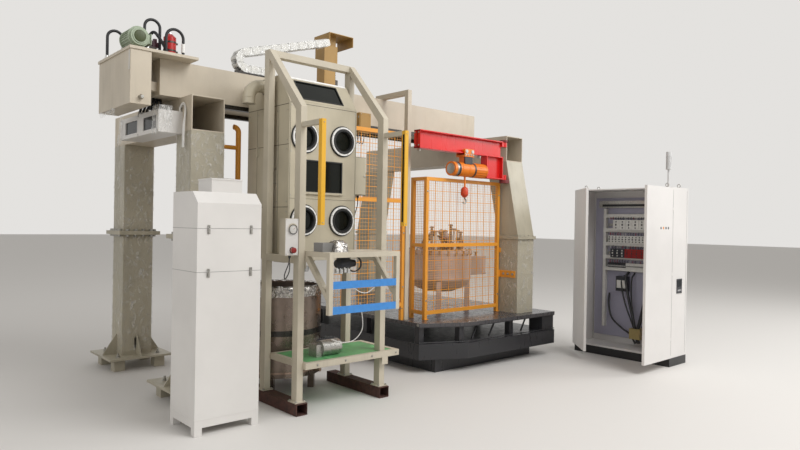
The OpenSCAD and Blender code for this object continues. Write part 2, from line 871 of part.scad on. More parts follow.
module platform_base() {
  box_z = plinth_h + lower_h;
  open_h = deck_z - deck_t - box_z;
  color("#2a2a2c") place(deck_x, deck_y) {
    translate([200, 230, 0]) cube([deck_l - 400, deck_d - 430, plinth_h]);
    translate([0, 0, plinth_h]) linear_extrude(lower_h) deck_outline();
    for (x = [430, 1300]) translate([x, 90, box_z]) cube([70, 70, open_h]);
    translate([20, 300, box_z]) cube([70, 70, open_h]);
    translate([deck_l - 230, 20, box_z]) cube([230, 200, open_h]);
    for (x = [20, 1000, deck_l - 90]) translate([x, deck_d - 100, box_z])
      cube([70, 70, open_h]);
    for (x = [20, deck_l - 90], y = [1200, 2200]) translate([x, y, box_z])
      cube([70, 70, open_h]);
  }
}

module furnace_pot() {
  color("#b9a598") place(pot_x, pot_y) {
    for (a = [45 : 90 : 315]) rotate([0, 0, a]) translate([pot_r - 90, -30, deck_z])
      cube([60, 60, pot_low + 180 - deck_z]);
    rotate_extrude() polygon([[0, pot_low], [200, pot_low + 15], [330, pot_low + 70],
      [pot_r - 15, pot_low + 170], [pot_r - 15, pot_top - 20], [pot_r, pot_top - 20],
      [pot_r, pot_top], [pot_r - 60, pot_top], [pot_r - 60, pot_low + 200],
      [0, pot_low + 100]]);
    translate([pot_r - 30, -150, 950]) cube([355, 300, 250]);
  }
}

module furnace_piping() {
  color("#a89a8e") place(pot_x, pot_y, pot_top) {
    difference() {
      cylinder(r = pot_r, h = 20);
      translate([0, 0, -e]) cylinder(r = 120, h = 20 + 2 * e);
    }
    for (a = [30 : 120 : 270]) rotate([0, 0, a]) translate([250, 0, 20])
      rotate([0, -35, 0]) cylinder(d = 60, h = 300);
  }
}

// Fixed brackets of the jib with their two hinge pins
module jib_bearings() {
  lug = 100;
  top_z = boom_z + boom_h + run_gap;
  low_z = jib_low - run_gap;
  reach = gantry_span - hinge_x;
  color("#7d1c1c") place(hinge_x, hinge_y) {
    translate([0, 0, top_z]) cylinder(d = lug, h = 25);
    translate([0, 0, top_z]) cube([reach, 100, 25]);
    translate([0, 0, top_z - 40]) cylinder(d = pin_d, h = 45);
    translate([0, 0, low_z - 40]) cylinder(d = lug, h = 40);
    translate([0, -lug / 2, low_z - 40]) cube([reach, lug, 40]);
    translate([0, 0, low_z]) cylinder(d = pin_d, h = 40);
  }
}

module beam_section(h) {
  difference() {
    translate([-boom_w / 2, 0]) square([boom_w, h]);
    for (s = [0, 1]) mirror([s, 0]) translate([web_t / 2, web_t])
      square([boom_w, h - 2 * web_t]);
  }
}

// Jib: boom, hanging mast and two hinge bosses
module jib_boom() {
  mast_x1 = -65;
  mast_x0 = mast_x1 - jib_mast_w;
  bore_r = pin_d / 2 + pin_gap;
  color("#d81f1f") place(hinge_x, hinge_y) difference() {
    union() {
      translate([-boom_l, 0, boom_z]) rotate([90, 0, 90])
        linear_extrude(boom_l + mast_x1) beam_section(boom_h);
      translate([mast_x0, 0, jib_low]) linear_extrude(boom_z - jib_low)
        rotate([0, 0, -90]) beam_section(jib_mast_w);
      translate([mast_x0, -boom_w / 2, jib_low]) cube([jib_mast_w, boom_w, web_t]);
      for (z = [jib_low, boom_z + boom_h - 60]) {
        translate([0, 0, z]) cylinder(d = 80, h = 60);
        translate([mast_x1, -30, z]) cube([-mast_x1, 60, 60]);
      }
    }
    for (z = [jib_low - e, boom_z + boom_h - 42]) translate([0, 0, z])
      cylinder(r = bore_r, h = 43);
  }
}

// Hoist: trolley on the boom's lower flange, drum housing, chain and hook
module hoist() {
  x0 = -hoist_l - 380;
  cz = boom_z - 185;
  color("#e08a1e") place(hinge_x + x0, hinge_y) {
    translate([0, 0, cz]) rotate([0, 90, 0]) cylinder(d = hoist_d, h = hoist_l);
    translate([180, -40, cz]) cube([120, 80, boom_z - 30 - cz]);
    for (s = [-1, 1]) translate([160, s * (boom_w / 2 + 13) - 6, boom_z - 30])
      cube([160, 12, 80]);
    translate([160, -boom_w / 2 - 19, boom_z - 40]) cube([160, boom_w + 38, 20]);
    for (s = [-1, 1], x = [190, 290]) translate([x, s * 20, boom_z + web_t + run_gap + 20])
      rotate([s * -90, 0, 0]) cylinder(d = 40, h = boom_w / 2 - 8);
    translate([240, 0, cz - hoist_d / 2 - hook_drop]) cylinder(d = 22, h = hook_drop + 10);
    translate([240, 0, cz - hoist_d / 2 - hook_drop]) sphere(d = 60);
  }
}

module filter_body() {
  color("#e2dedb") place(filter_x, filter_y) {
    difference() {
      cube([filter_w, filter_d, 120]);
      translate([60, -e, -e]) cube([filter_w - 120, filter_d + 2 * e, 61]);
      translate([-e, 60, -e]) cube([filter_w + 2 * e, filter_d - 120, 61]);
    }
    translate([0, 0, 120]) cube([filter_w, filter_d, filter_h - 120]);
  }
}

module filter_head() {
  color("#e2dedb") place(filter_x, filter_y, filter_h) {
    side_profile(filter_w) polygon([[0, 0], [filter_d, 0], [filter_d, 88], [90, 88]]);
    difference() {
      translate([180, 150, 88]) cube([260, 240, outlet_z - filter_h - 88]);
      translate([310, 270, outlet_z - filter_h - outlet_l]) cylinder(d = outlet_d, h = outlet_l + e);
    }
  }
}

// Fixed half of a hinge: lug, pin and the block that fixes it to the cabinet's side
module hinge_lug() {
  translate([0, 0, -30]) cylinder(d = barrel_d, h = 30);
  translate([0, 0, 0]) cylinder(d = door_pin_d, h = 60);
  translate([0, -door_pin_d / 2, -30]) cube([door_axis + 40, hinge_off + door_pin_d / 2, 30]);
}

module cabinet_body() {
  color("#dfddd9") {
    place(cab_x, cab_y, cab_plinth) difference() {
      cube([cab_d, cab_w, cab_h]);
      translate([-e, cab_t, cab_t])
        cube([cab_d - cab_t + e, cab_w - 2 * cab_t, cab_h - 2 * cab_t]);
    }
    for (z = hinge_z) {
      place(cab_x - door_axis, cab_y - hinge_off, z) hinge_lug();
      place(cab_x - door_axis, cab_y + cab_w + hinge_off, z) mirror([0, 1, 0]) hinge_lug();
    }
    place(cab_x, cab_y) cube([cab_d, cab_w, cab_plinth]);
  }
}

module cabinet_panel() {
  rows = [1650, 1480, 1330, 1180];
  color("#c9c4b4") place(cab_x + cab_d - cab_t - 45, cab_y + 60, cab_plinth + 100) {
    cube([45, cab_w - 120, cab_h - 200]);
    for (z = rows) translate([-60, 120, z - 60]) cube([60, cab_w - 360, 90]);
    translate([-150, 650, 250]) cube([150, 280, 420]);
    translate([-40, 60, 100]) cube([40, 40, cab_h - 400]);
  }
}

// A door with its hinge barrels, shut, with the hinge axis at the origin
module door_leaf() {
  start = hinge_off + 6;
  leaf_w = cab_w / 2 - 12 - start + hinge_off;
  difference() {
    union() {
      translate([-door_t / 2, start, cab_plinth + 10]) cube([door_t, leaf_w, cab_h - 20]);
      for (z = hinge_z) {
        translate([0, 0, z + run_gap]) cylinder(d = barrel_d, h = 60);
        translate([-4, 0, z + run_gap]) cube([8, start + 1, 60]);
      }
    }
    for (z = hinge_z) translate([0, 0, z]) cylinder(r = door_pin_d / 2 + pin_gap, h = 62);
  }
}

module near_door() {
  color("#dfddd9") place(cab_x - door_axis, cab_y - hinge_off) rotate([0, 0, 90]) door_leaf();
}

module far_door() {
  color("#dfddd9") place(cab_x - door_axis, cab_y + cab_w + hinge_off)
    rotate([0, 0, -far_open]) mirror([0, 1, 0]) door_leaf();
}

module signal_lamp() {
  color("#d8d8d4") place(cab_x + 170, cab_y + 130, cab_plinth + cab_h) {
    cylinder(d = 70, h = 10);
    cylinder(d = 22, h = 220);
    translate([0, 0, 220]) cylinder(d = 62, h = 210);
  }
}

left_front_column();
left_rear_column();
left_cross_beam();
main_beam();
beam_rails();
right_cross_beam();
right_front_column();
right_rear_column();
oil_tank();
pump_motor();
valve_block();
accumulator();
hydraulic_hoses();
instrument_box();
energy_chain();
carriage();
mast_bracket();
drive_box();
booth_front();
booth_slope();
booth_left_side();
booth_right_side();
booth_back();
booth_roof();
booth_floor();
booth_glass();
port_rings();
exhaust_elbows();
side_box();
left_station_frame();
right_station_frame();
station_bars();
station_skids();
matted_step();
shelf_frame();
blue_bands();
light_curtains();
button_box();
step_motor();
dip_tank();
guard_rail();
tall_fence();
front_fence();
fence_return();
tall_post();
platform_deck();
platform_base();
furnace_pot();
furnace_piping();
jib_bearings();
jib_boom();
hoist();
filter_body();
filter_head();
cabinet_body();
cabinet_panel();
near_door();
far_door();
signal_lamp();
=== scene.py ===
"""Die casting machine: paint, film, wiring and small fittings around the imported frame."""

import random
from functools import partial
from itertools import product
from math import atan2, cos, hypot, pi, radians, sin, tan

import bmesh
import bpy
from mathutils import Matrix, Vector, noise


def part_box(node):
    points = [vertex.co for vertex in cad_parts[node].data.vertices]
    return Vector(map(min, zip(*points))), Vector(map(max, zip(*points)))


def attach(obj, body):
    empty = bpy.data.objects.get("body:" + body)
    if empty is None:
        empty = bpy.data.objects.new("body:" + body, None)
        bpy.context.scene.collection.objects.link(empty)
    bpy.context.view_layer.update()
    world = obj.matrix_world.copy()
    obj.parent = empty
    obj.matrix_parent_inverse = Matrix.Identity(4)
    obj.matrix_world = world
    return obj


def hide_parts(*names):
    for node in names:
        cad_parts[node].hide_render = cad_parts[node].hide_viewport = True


bl_info = {
    "name": "Die Casting Machine",
    "version": (1, 0, 0),
    "blender": (4, 5, 0),
    "location": "3D View > Sidebar > Die Casting",
    "description": "Finishes and small fittings of a gantry die casting machine",
    "category": "Object",
}

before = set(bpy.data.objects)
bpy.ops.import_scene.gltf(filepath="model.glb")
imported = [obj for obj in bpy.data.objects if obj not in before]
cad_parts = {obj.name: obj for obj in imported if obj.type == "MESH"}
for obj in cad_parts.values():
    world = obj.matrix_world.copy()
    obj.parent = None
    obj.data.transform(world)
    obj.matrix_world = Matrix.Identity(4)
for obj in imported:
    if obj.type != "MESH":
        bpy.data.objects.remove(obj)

# Camera of the photograph, worked out from the machine's own straight edges, in metres from
# the front corner of the left cross beam
PHOTO_WIDTH = 800
CAMERA_BACK = (-2.4, -5.45)
CAMERA_HEIGHT = 1.63
CAMERA_TURN = radians(48.06)
CAMERA_TILT = radians(-0.21)
CAMERA_ROLL = radians(0.98)
FOCAL_PIXELS = 640.2
SENSOR_MM = 36.0

# Origin and directions of the shared frame
ORIGIN = Vector((0, 0, 0))
UP, DOWN = (0, 0, 1), (0, 0, -1)
FRONT, BACK = (0, -1, 0), (0, 1, 0)
LEFT, RIGHT = (-1, 0, 0), (1, 0, 0)


def linear(code):
    """Turn an sRGB hex value into linear red, green and blue."""
    parts = [int(code[i:i + 2], 16) / 255 for i in (1, 3, 5)]
    return tuple(p / 12.92 if p <= 0.04045 else ((p + 0.055) / 1.055) ** 2.4 for p in parts)


def mm(x, y, z):
    """A step in millimetres, as a vector in metres."""
    return Vector((x, y, z)) / 1000


def per_mm(size):
    """Texture scale at which one feature is about this many millimetres wide."""
    return 1000 / size


def paint_choice(name, use, code):
    """A colour that a user can change."""
    return bpy.props.FloatVectorProperty(
        name=name, description=use, subtype="COLOR", size=3, min=0, max=1, default=linear(code))


def length_choice(name, use, size):
    """A length that a user can change, in millimetres here and in metres in the file."""
    return bpy.props.FloatProperty(
        name=name, description=use, unit="LENGTH", min=0, default=size / 1000)


class DieCastPaint(bpy.types.PropertyGroup):
    """Colours of the machine's finishes"""
    gantry: paint_choice("Gantry", "Enamel on the columns", "#aca592")
    beam: paint_choice("Beam", "Enamel on the beams", "#c3b8a5")
    booth: paint_choice("Booth", "Enamel on the booth's sheet metal", "#bbb29c")
    station: paint_choice("Station", "Enamel on the operator's frame", "#c2b9a6")
    housing: paint_choice("Housings", "Powder coat on the white housings", "#dbd8d4")
    mustard: paint_choice("Manipulator", "Enamel on the carriage and mast", "#a88447")
    fence: paint_choice("Fences", "Powder coat on the fence frames", "#e39a35")
    curtain: paint_choice("Light curtains", "Anodised yellow profiles", "#dfaa2b")
    platform: paint_choice("Platform", "Black enamel on the platform", "#2c2c2f")
    jib: paint_choice("Jib", "Red enamel on the jib", "#d51a17")
    jib_dark: paint_choice("Jib brackets", "Dark red enamel on the brackets", "#6d1718")
    hoist: paint_choice("Hoist", "Orange enamel on the hoist", "#e07a17")
    band: paint_choice("Bands", "Blue tape on the barrier bands", "#3e86cc")
    mat: paint_choice("Mat", "Green vinyl mat", "#5c9a62")
    stainless: paint_choice("Tanks", "Warm stainless sheet of the vessels", "#b59c8b")
    motor: paint_choice("Pump motor", "Pale green enamel on the motor", "#9aa68f")


class DieCastSizes(bpy.types.PropertyGroup):
    """Sizes of the small fittings"""
    bolt: length_choice("Bolt", "Width across the flats of a column bolt", 30)
    screw: length_choice("Screw", "Width across the flats of a cover screw", 10)
    bead: length_choice("Weld bead", "Radius of a fillet weld", 4)
    hose: length_choice("Hose", "Outer diameter of a hydraulic hose", 26)
    cable: length_choice("Cable", "Outer diameter of a control cable", 9)
    film: length_choice("Film", "How far the wrapping film stands off the steel", 5)


def paint():
    """The colours in use."""
    return bpy.context.scene.diecast_paint


def sizes():
    """The sizes in use."""
    return bpy.context.scene.diecast_sizes


def add_node(tree, kind, settings=None, inputs=None):
    """Add one node; an input is a value, or the output of another node that is linked to it."""
    node = tree.nodes.new(kind)
    for key, value in (settings or {}).items():
        setattr(node, key, value)
    for key, value in (inputs or {}).items():
        if isinstance(value, bpy.types.NodeSocket):
            tree.links.new(value, node.inputs[key])
        else:
            node.inputs[key].default_value = value
    return node


def new_finish(name, **shader):
    """A material with its main shader, and the place of each point on the object in metres."""
    material = bpy.data.materials.new(name)
    material.use_nodes = True
    tree = material.node_tree
    surface = tree.nodes["Principled BSDF"]
    for key, value in shader.items():
        surface.inputs[key.replace("_", " ")].default_value = value
    where = add_node(tree, "ShaderNodeTexCoord").outputs["Object"]
    return material, tree, surface, where


def shade(tone, factor):
    """A tone made lighter or darker, as a colour with alpha."""
    return (*[min(1.0, channel * factor) for channel in tone], 1)


def sprayed_enamel(name, tone, rough=0.42, grime=0.35, worn=0.25):
    """Machine enamel sprayed on welded plate: slightly uneven gloss, dust and rubbed edges."""
    material, tree, surface, where = new_finish(name)
    clouds = add_node(tree, "ShaderNodeTexNoise", inputs={
        "Vector": where, "Scale": per_mm(450), "Detail": 4.0})
    tint = add_node(tree, "ShaderNodeValToRGB", inputs={"Fac": clouds.outputs["Fac"]})
    tint.color_ramp.elements[0].position = 0.3
    tint.color_ramp.elements[0].color = shade(tone, 0.86)
    tint.color_ramp.elements[1].position = 0.7
    tint.color_ramp.elements[1].color = shade(tone, 1.07)
    # Dust and rust streaks run down the plates, so the noise is stretched upright
    drawn = add_node(tree, "ShaderNodeMapping", inputs={"Vector": where, "Scale": (1, 1, 0.12)})
    streaks = add_node(tree, "ShaderNodeTexNoise", inputs={
        "Vector": drawn.outputs["Vector"], "Scale": per_mm(60), "Detail": 5.0, "Roughness": 0.7})
    streak_mask = add_node(tree, "ShaderNodeMapRange", inputs={
        "Value": streaks.outputs["Fac"], "From Min": 0.52, "From Max": 0.78, "To Max": grime})
    dusty = add_node(tree, "ShaderNodeMix", {"data_type": "RGBA"}, {
        "Factor": streak_mask.outputs["Result"], "A": tint.outputs["Color"],
        "B": shade(tone, 0.62)})
    # Edges are rubbed to a paler primer where the rounded normal departs from the flat one
    rounded = add_node(tree, "ShaderNodeBevel", {"samples": 4}, {"Radius": 0.004})
    flat = add_node(tree, "ShaderNodeNewGeometry")
    facing = add_node(tree, "ShaderNodeVectorMath", {"operation": "DOT_PRODUCT"}, {
        0: rounded.outputs["Normal"], 1: flat.outputs["Normal"]})
    chips = add_node(tree, "ShaderNodeTexNoise", inputs={
        "Vector": where, "Scale": per_mm(25), "Detail": 3.0})
    edge = add_node(tree, "ShaderNodeMapRange", inputs={
        "Value": facing.outputs["Value"], "From Min": 0.99, "From Max": 0.86, "To Max": 1.0})
    rubbed = add_node(tree, "ShaderNodeMath", {"operation": "MULTIPLY"}, {
        0: edge.outputs["Result"], 1: chips.outputs["Fac"]})
    rub_mask = add_node(tree, "ShaderNodeMapRange", inputs={
        "Value": rubbed.outputs["Value"], "From Min": 0.2, "From Max": 0.6, "To Max": worn})
    coloured = add_node(tree, "ShaderNodeMix", {"data_type": "RGBA"}, {
        "Factor": rub_mask.outputs["Result"], "A": dusty.outputs["Result"],
        "B": shade(tone, 1.35)})
    tree.links.new(coloured.outputs["Result"], surface.inputs["Base Color"])
    gloss = add_node(tree, "ShaderNodeMapRange", inputs={
        "Value": streaks.outputs["Fac"], "From Min": 0.3, "From Max": 0.75,
        "To Min": rough - 0.06, "To Max": rough + 0.16})
    tree.links.new(gloss.outputs["Result"], surface.inputs["Roughness"])
    # Orange peel of a sprayed coat is about 2 mm; it is drawn at 7 mm so that it shows
    peel = add_node(tree, "ShaderNodeTexNoise", inputs={
        "Vector": where, "Scale": per_mm(7), "Detail": 2.0})
    bump = add_node(tree, "ShaderNodeBump", inputs={
        "Height": peel.outputs["Fac"], "Strength": 0.12, "Distance": 0.0006,
        "Normal": rounded.outputs["Normal"]})
    tree.links.new(bump.outputs["Normal"], surface.inputs["Normal"])
    return material


def patchy_skin(name, tone, patch, dark=0.9, pale=1.08, rough=0.4, uneven=0.1, grain=None,
                stretch=(1, 1, 1), **shader):
    """Skin with uneven colour and gloss; its grain is (size in mm, strength, depth in mm)."""
    material, tree, surface, where = new_finish(name, **shader)
    patches = add_node(tree, "ShaderNodeTexNoise", inputs={
        "Vector": where, "Scale": per_mm(patch), "Detail": 4.0, "Roughness": 0.6})
    tint = add_node(tree, "ShaderNodeValToRGB", inputs={"Fac": patches.outputs["Fac"]})
    tint.color_ramp.elements[0].position = 0.34
    tint.color_ramp.elements[0].color = shade(tone, dark)
    tint.color_ramp.elements[1].position = 0.72
    tint.color_ramp.elements[1].color = shade(tone, pale)
    tree.links.new(tint.outputs["Color"], surface.inputs["Base Color"])
    gloss = add_node(tree, "ShaderNodeMapRange", inputs={
        "Value": patches.outputs["Fac"], "From Min": 0.3, "From Max": 0.7,
        "To Min": max(0.03, rough - uneven / 2), "To Max": rough + uneven})
    tree.links.new(gloss.outputs["Result"], surface.inputs["Roughness"])
    if grain:
        size, strength, depth = grain
        drawn = add_node(tree, "ShaderNodeMapping", inputs={"Vector": where, "Scale": stretch})
        texture = add_node(tree, "ShaderNodeTexNoise", inputs={
            "Vector": drawn.outputs["Vector"], "Scale": per_mm(size), "Detail": 2.0})
        bump = add_node(tree, "ShaderNodeBump", inputs={
            "Height": texture.outputs["Fac"], "Strength": strength, "Distance": depth / 1000})
        tree.links.new(bump.outputs["Normal"], surface.inputs["Normal"])
    return material


def cling_film(name, tone, clear=0.02, cover=0.38):
    """Clear stretch film wound round the steel: nearly unseen, but for creases that glint."""
    material, tree, surface, where = new_finish(name, Roughness=0.14, Specular_IOR_Level=0.8)
    surface.inputs["Base Color"].default_value = shade(tone, 1)
    slanted = add_node(tree, "ShaderNodeMapping", inputs={
        "Vector": where, "Scale": (1, 1, 0.55), "Rotation": (0.5, 0.4, 0)})
    creases = add_node(tree, "ShaderNodeTexNoise", inputs={
        "Vector": slanted.outputs["Vector"], "Scale": per_mm(38), "Detail": 5.0,
        "Roughness": 0.6, "Distortion": 0.8})
    layers = add_node(tree, "ShaderNodeMapRange", inputs={
        "Value": creases.outputs["Fac"], "From Min": 0.5, "From Max": 0.7,
        "To Min": clear, "To Max": cover})
    tree.links.new(layers.outputs["Result"], surface.inputs["Alpha"])
    bump = add_node(tree, "ShaderNodeBump", inputs={
        "Height": creases.outputs["Fac"], "Strength": 1.0, "Distance": 0.012})
    tree.links.new(bump.outputs["Normal"], surface.inputs["Normal"])
    return material


# Looks that several finishes share. Real grain is finer and is drawn larger so that it shows
POWDER = {"patch": 700, "dark": 0.94, "pale": 1.03, "rough": 0.36, "grain": (4, 0.1, 0.4)}
PLASTIC = {"patch": 40, "dark": 0.9, "pale": 1.06, "rough": 0.4, "grain": (2, 0.15, 0.3)}
METAL = {"patch": 14, "dark": 0.72, "pale": 1.12, "rough": 0.3, "uneven": 0.15, "Metallic": 1.0}
RUBBER = {"patch": 70, "dark": 0.75, "pale": 1.6, "rough": 0.5, "grain": (6, 0.3, 0.5)}
STAINLESS = {"patch": 160, "dark": 0.74, "pale": 1.12, "rough": 0.26, "uneven": 0.16,
             "grain": (3, 0.25, 0.5), "stretch": (0.06, 0.06, 1), "Metallic": 0.85}
GLASS = {"patch": 240, "dark": 0.8, "pale": 1.3, "rough": 0.12, "uneven": 0.1,
         "Specular_IOR_Level": 0.25}
FURNACE = {"patch": 260, "dark": 0.88, "pale": 1.06, "rough": 0.34, "uneven": 0.12,
           "Metallic": 0.25}
FOIL = {"patch": 22, "dark": 0.35, "pale": 1.3, "rough": 0.2, "uneven": 0.15,
        "grain": (26, 1.0, 8), "Metallic": 0.9}
PRIMER = {"patch": 45, "dark": 0.6, "pale": 1.6, "rough": 0.75, "grain": (30, 0.4, 1)}
MAT = {"patch": 130, "dark": 0.82, "pale": 1.45, "rough": 0.5, "grain": (18, 0.6, 2),
       "stretch": (1, 0.01, 0.01)}

# Every finish: how it is made, its colour or the name of a colour above, and its values
FINISHES = {
    "gantry enamel": (sprayed_enamel, "gantry", {"rough": 0.4, "grime": 0.4}),
    "beam enamel": (sprayed_enamel, "beam", {"grime": 0.2}),
    "booth enamel": (sprayed_enamel, "booth", {"rough": 0.36, "grime": 0.22, "worn": 0.4}),
    # Dark seam strips of the booth; the same dark also paints the shadow in the gap round the side
    # box's cover
    "booth seam": (patchy_skin, "#4a463d", PLASTIC),
    "station enamel": (sprayed_enamel, "station", {"rough": 0.38, "grime": 0.3, "worn": 0.4}),
    "mustard enamel": (sprayed_enamel, "mustard", {"grime": 0.4}),
    "housing powder coat": (patchy_skin, "housing", POWDER),
    "cabinet powder coat": (patchy_skin, "#dcd9d6", POWDER),
    "cabinet grey": (patchy_skin, "#7d7c7a", POWDER),
    "plinth black": (patchy_skin, "#242425", POWDER),
    "mounting plate": (patchy_skin, "#a19fb0", POWDER),
    "fence powder coat": (patchy_skin, "fence", POWDER),
    "fence wire": (patchy_skin, "#e6ad66", POWDER),
    "curtain yellow": (patchy_skin, "curtain", POWDER),
    "platform enamel": (sprayed_enamel, "platform", {"rough": 0.3, "grime": 0.2, "worn": 0.5}),
    # The deck's grey, lighter than the black platform enamel, is a painted sheen of its glossy top;
    # the dust streaks and rubbed edges on it are real wear
    "platform top": (sprayed_enamel, "#4a484a", {"rough": 0.24, "grime": 0.6, "worn": 0.5}),
    "jib enamel": (sprayed_enamel, "jib", {"rough": 0.28, "grime": 0.12, "worn": 0.3}),
    "jib dark enamel": (sprayed_enamel, "jib_dark", {"rough": 0.35, "grime": 0.2}),
    "hoist enamel": (patchy_skin, "hoist", POWDER),
    "motor enamel": (sprayed_enamel, "motor", {"grime": 0.3}),
    "motor cowl": (sprayed_enamel, "#3d4621", {"grime": 0.3}),
    "accumulator enamel": (sprayed_enamel, "#bd1f1c", {"rough": 0.26, "grime": 0.15}),
    "blue tape": (patchy_skin, "band", PLASTIC),
    "vinyl mat": (patchy_skin, "mat", MAT),
    "vessel stainless": (patchy_skin, "stainless", STAINLESS),
    # The dip tank's stainless is the vessels' steel made darker: painted shade, as the tank stands
    # in shadow
    "dark vessel stainless": (patchy_skin, "#8b7d73", STAINLESS),
    "furnace steel": (patchy_skin, "#d0bebb", FURNACE),
    "crumpled foil": (patchy_skin, "#c3bfba", FOIL),
    "oxide primer": (patchy_skin, "#4b3029", PRIMER),
    "rolled steel": (patchy_skin, "#4a4846", METAL),
    "zinc plate": (patchy_skin, "#b5b3ad", METAL),
    "chrome": (patchy_skin, "#d5d5d3", METAL),
    "cast iron": (patchy_skin, "#55524f", METAL),
    "hose rubber": (patchy_skin, "#17171a", RUBBER),
    "neoprene": (patchy_skin, "#0c0d0d", RUBBER),
    "cable black": (patchy_skin, "#161618", PLASTIC),
    "cable white": (patchy_skin, "#dddbd6", PLASTIC),
    "cable red": (patchy_skin, "#a32622", PLASTIC),
    "chain polyamide": (patchy_skin, "#dcdbd6", PLASTIC),
    "ring plastic": (patchy_skin, "#ecebe8", PLASTIC),
    "switchgear grey": (patchy_skin, "#303136", PLASTIC),
    "switchgear white": (patchy_skin, "#d3d1cc", PLASTIC),
    "valve burgundy": (patchy_skin, "#5a3640", PLASTIC),
    "wiring brown": (patchy_skin, "#9c8a58", PLASTIC),
    "lamp red": (patchy_skin, "#8d1a17", PLASTIC),
    "lamp amber": (patchy_skin, "#d98a1a", PLASTIC),
    "lamp grey": (patchy_skin, "#c9c9c8", PLASTIC),
    "hook red": (patchy_skin, "#c8401c", PLASTIC),
    "dark glass": (patchy_skin, "#10130f", GLASS),
    "meter glass": (patchy_skin, "#1d2226", GLASS),
    "wrapping film": (cling_film, "#efeeec", {}),
    "clear film": (cling_film, "#d6d6d8", {"cover": 0.2}),
    "milky film": (cling_film, "#f2f2f0", {"clear": 0.25, "cover": 0.95}),
}


def finish(name):
    """The material of that name, made on first use."""
    known = bpy.data.materials.get(name)
    if known:
        return known
    recipe, tone, values = FINISHES[name]
    colour = linear(tone) if tone.startswith("#") else getattr(paint(), tone)
    return recipe(name, colour, **values)


def add_block(bm, low, high, slot=0):
    """Add a box between two corners."""
    verts = [bm.verts.new((x, y, z)) for z in (low[2], high[2])
             for y in (low[1], high[1]) for x in (low[0], high[0])]
    for corners in ((0, 2, 3, 1), (4, 5, 7, 6), (0, 1, 5, 4), (2, 6, 7, 3), (0, 4, 6, 2),
                    (1, 3, 7, 5)):
        bm.faces.new([verts[i] for i in corners]).material_index = slot


def sides_of(axis):
    """Two unit vectors square to an axis and to each other."""
    along = Vector(axis).normalized()
    side = along.orthogonal().normalized()
    return side, along.cross(side)


def add_lathe(bm, start, axis, profile, slot=0, sides=20, closed=False, turn=0.0):
    """Turn a profile of (distance along the axis, radius) pairs about the axis."""
    along = Vector(axis).normalized()
    side, up = sides_of(along)
    rings = []
    for distance, radius in profile:
        centre = Vector(start) + along * distance
        if radius < 1e-6:
            rings.append([bm.verts.new(centre)])
            continue
        angles = [turn + 2 * pi * i / sides for i in range(sides)]
        rings.append([bm.verts.new(centre + (side * cos(a) + up * sin(a)) * radius)
                      for a in angles])
    pairs = list(zip(rings, rings[1:]))
    if closed:
        pairs.append((rings[-1], rings[0]))
    for first, second in pairs:
        for i in range(sides):
            j = (i + 1) % sides
            loop = [first[i % len(first)], first[j % len(first)],
                    second[j % len(second)], second[i % len(second)]]
            corners = list(dict.fromkeys(loop))
            if len(corners) > 2:
                bm.faces.new(corners).material_index = slot


def add_rod(bm, start, end, radius, slot=0, sides=16):
    """Add a closed round bar between two points."""
    axis = Vector(end) - Vector(start)
    add_lathe(bm, start, axis, [(0, 0), (0, radius), (axis.length, radius), (axis.length, 0)],
              slot, sides)


def add_ring(bm, start, axis, inner, outer, height, slot=0, sides=40):
    """Add a flat ring with a hole."""
    add_lathe(bm, start, axis, [(0, inner), (0, outer), (height, outer), (height, inner)],
              slot, sides, closed=True)


def add_bolt(bm, at, axis, across, slot=0, washer=True):
    """Add a hexagon head on its washer."""
    radius = across / 2 / cos(pi / 6)
    base = across * 0.1 if washer else 0
    if washer:
        add_lathe(bm, at, axis, [(0, 0), (0, across * 0.85), (base, across * 0.85), (base, 0)],
                  slot, 16)
    top = base + across * 0.62
    add_lathe(bm, at, axis, [(base, 0), (base, radius), (top - across * 0.06, radius),
                             (top, radius * 0.86), (top, 0)], slot, 6)


def smooth_route(points, steps=8):
    """A smooth line through given points."""
    knots = [Vector(p) for p in points]
    knots = [knots[0] * 2 - knots[1]] + knots + [knots[-1] * 2 - knots[-2]]
    route = []
    for a, b, c, d in zip(knots, knots[1:], knots[2:], knots[3:]):
        for i in range(steps):
            t = i / steps
            route.append(0.5 * (2 * b + (c - a) * t + (2 * a - 5 * b + 4 * c - d) * t * t
                                + (3 * b - a - 3 * c + d) * t ** 3))
    route.append(knots[-2])
    return route


def add_sweep(bm, route, radius, slot=0, sides=10):
    """Sweep a circle along a route, with closed ends."""
    side = (route[1] - route[0]).orthogonal().normalized()
    rings = []
    for i, centre in enumerate(route):
        ahead = route[min(i + 1, len(route) - 1)] - route[max(i - 1, 0)]
        ahead.normalize()
        side = (side - ahead * side.dot(ahead)).normalized()
        up = ahead.cross(side)
        rings.append([bm.verts.new(
            centre + (side * cos(2 * pi * k / sides)
                      + up * sin(2 * pi * k / sides)) * radius)
            for k in range(sides)])
    for first, second in zip(rings, rings[1:]):
        for k in range(sides):
            m = (k + 1) % sides
            bm.faces.new((first[k], first[m], second[m], second[k])).material_index = slot
    bm.faces.new(rings[0][::-1]).material_index = slot
    bm.faces.new(rings[-1]).material_index = slot


def add_plate(bm, outline, normal_axis, low, high, slot=0):
    """Draw an outline in the plane square to X (0), Y (1) or Z (2) and thicken it."""
    def corner(pair, depth):
        values = list(pair)
        values.insert(normal_axis, depth)
        return bm.verts.new(values)

    near = [corner(pair, low) for pair in outline]
    far = [corner(pair, high) for pair in outline]
    bm.faces.new(near).material_index = slot
    bm.faces.new(far[::-1]).material_index = slot
    for i in range(len(near)):
        j = (i + 1) % len(near)
        bm.faces.new((near[i], near[j], far[j], far[i])).material_index = slot


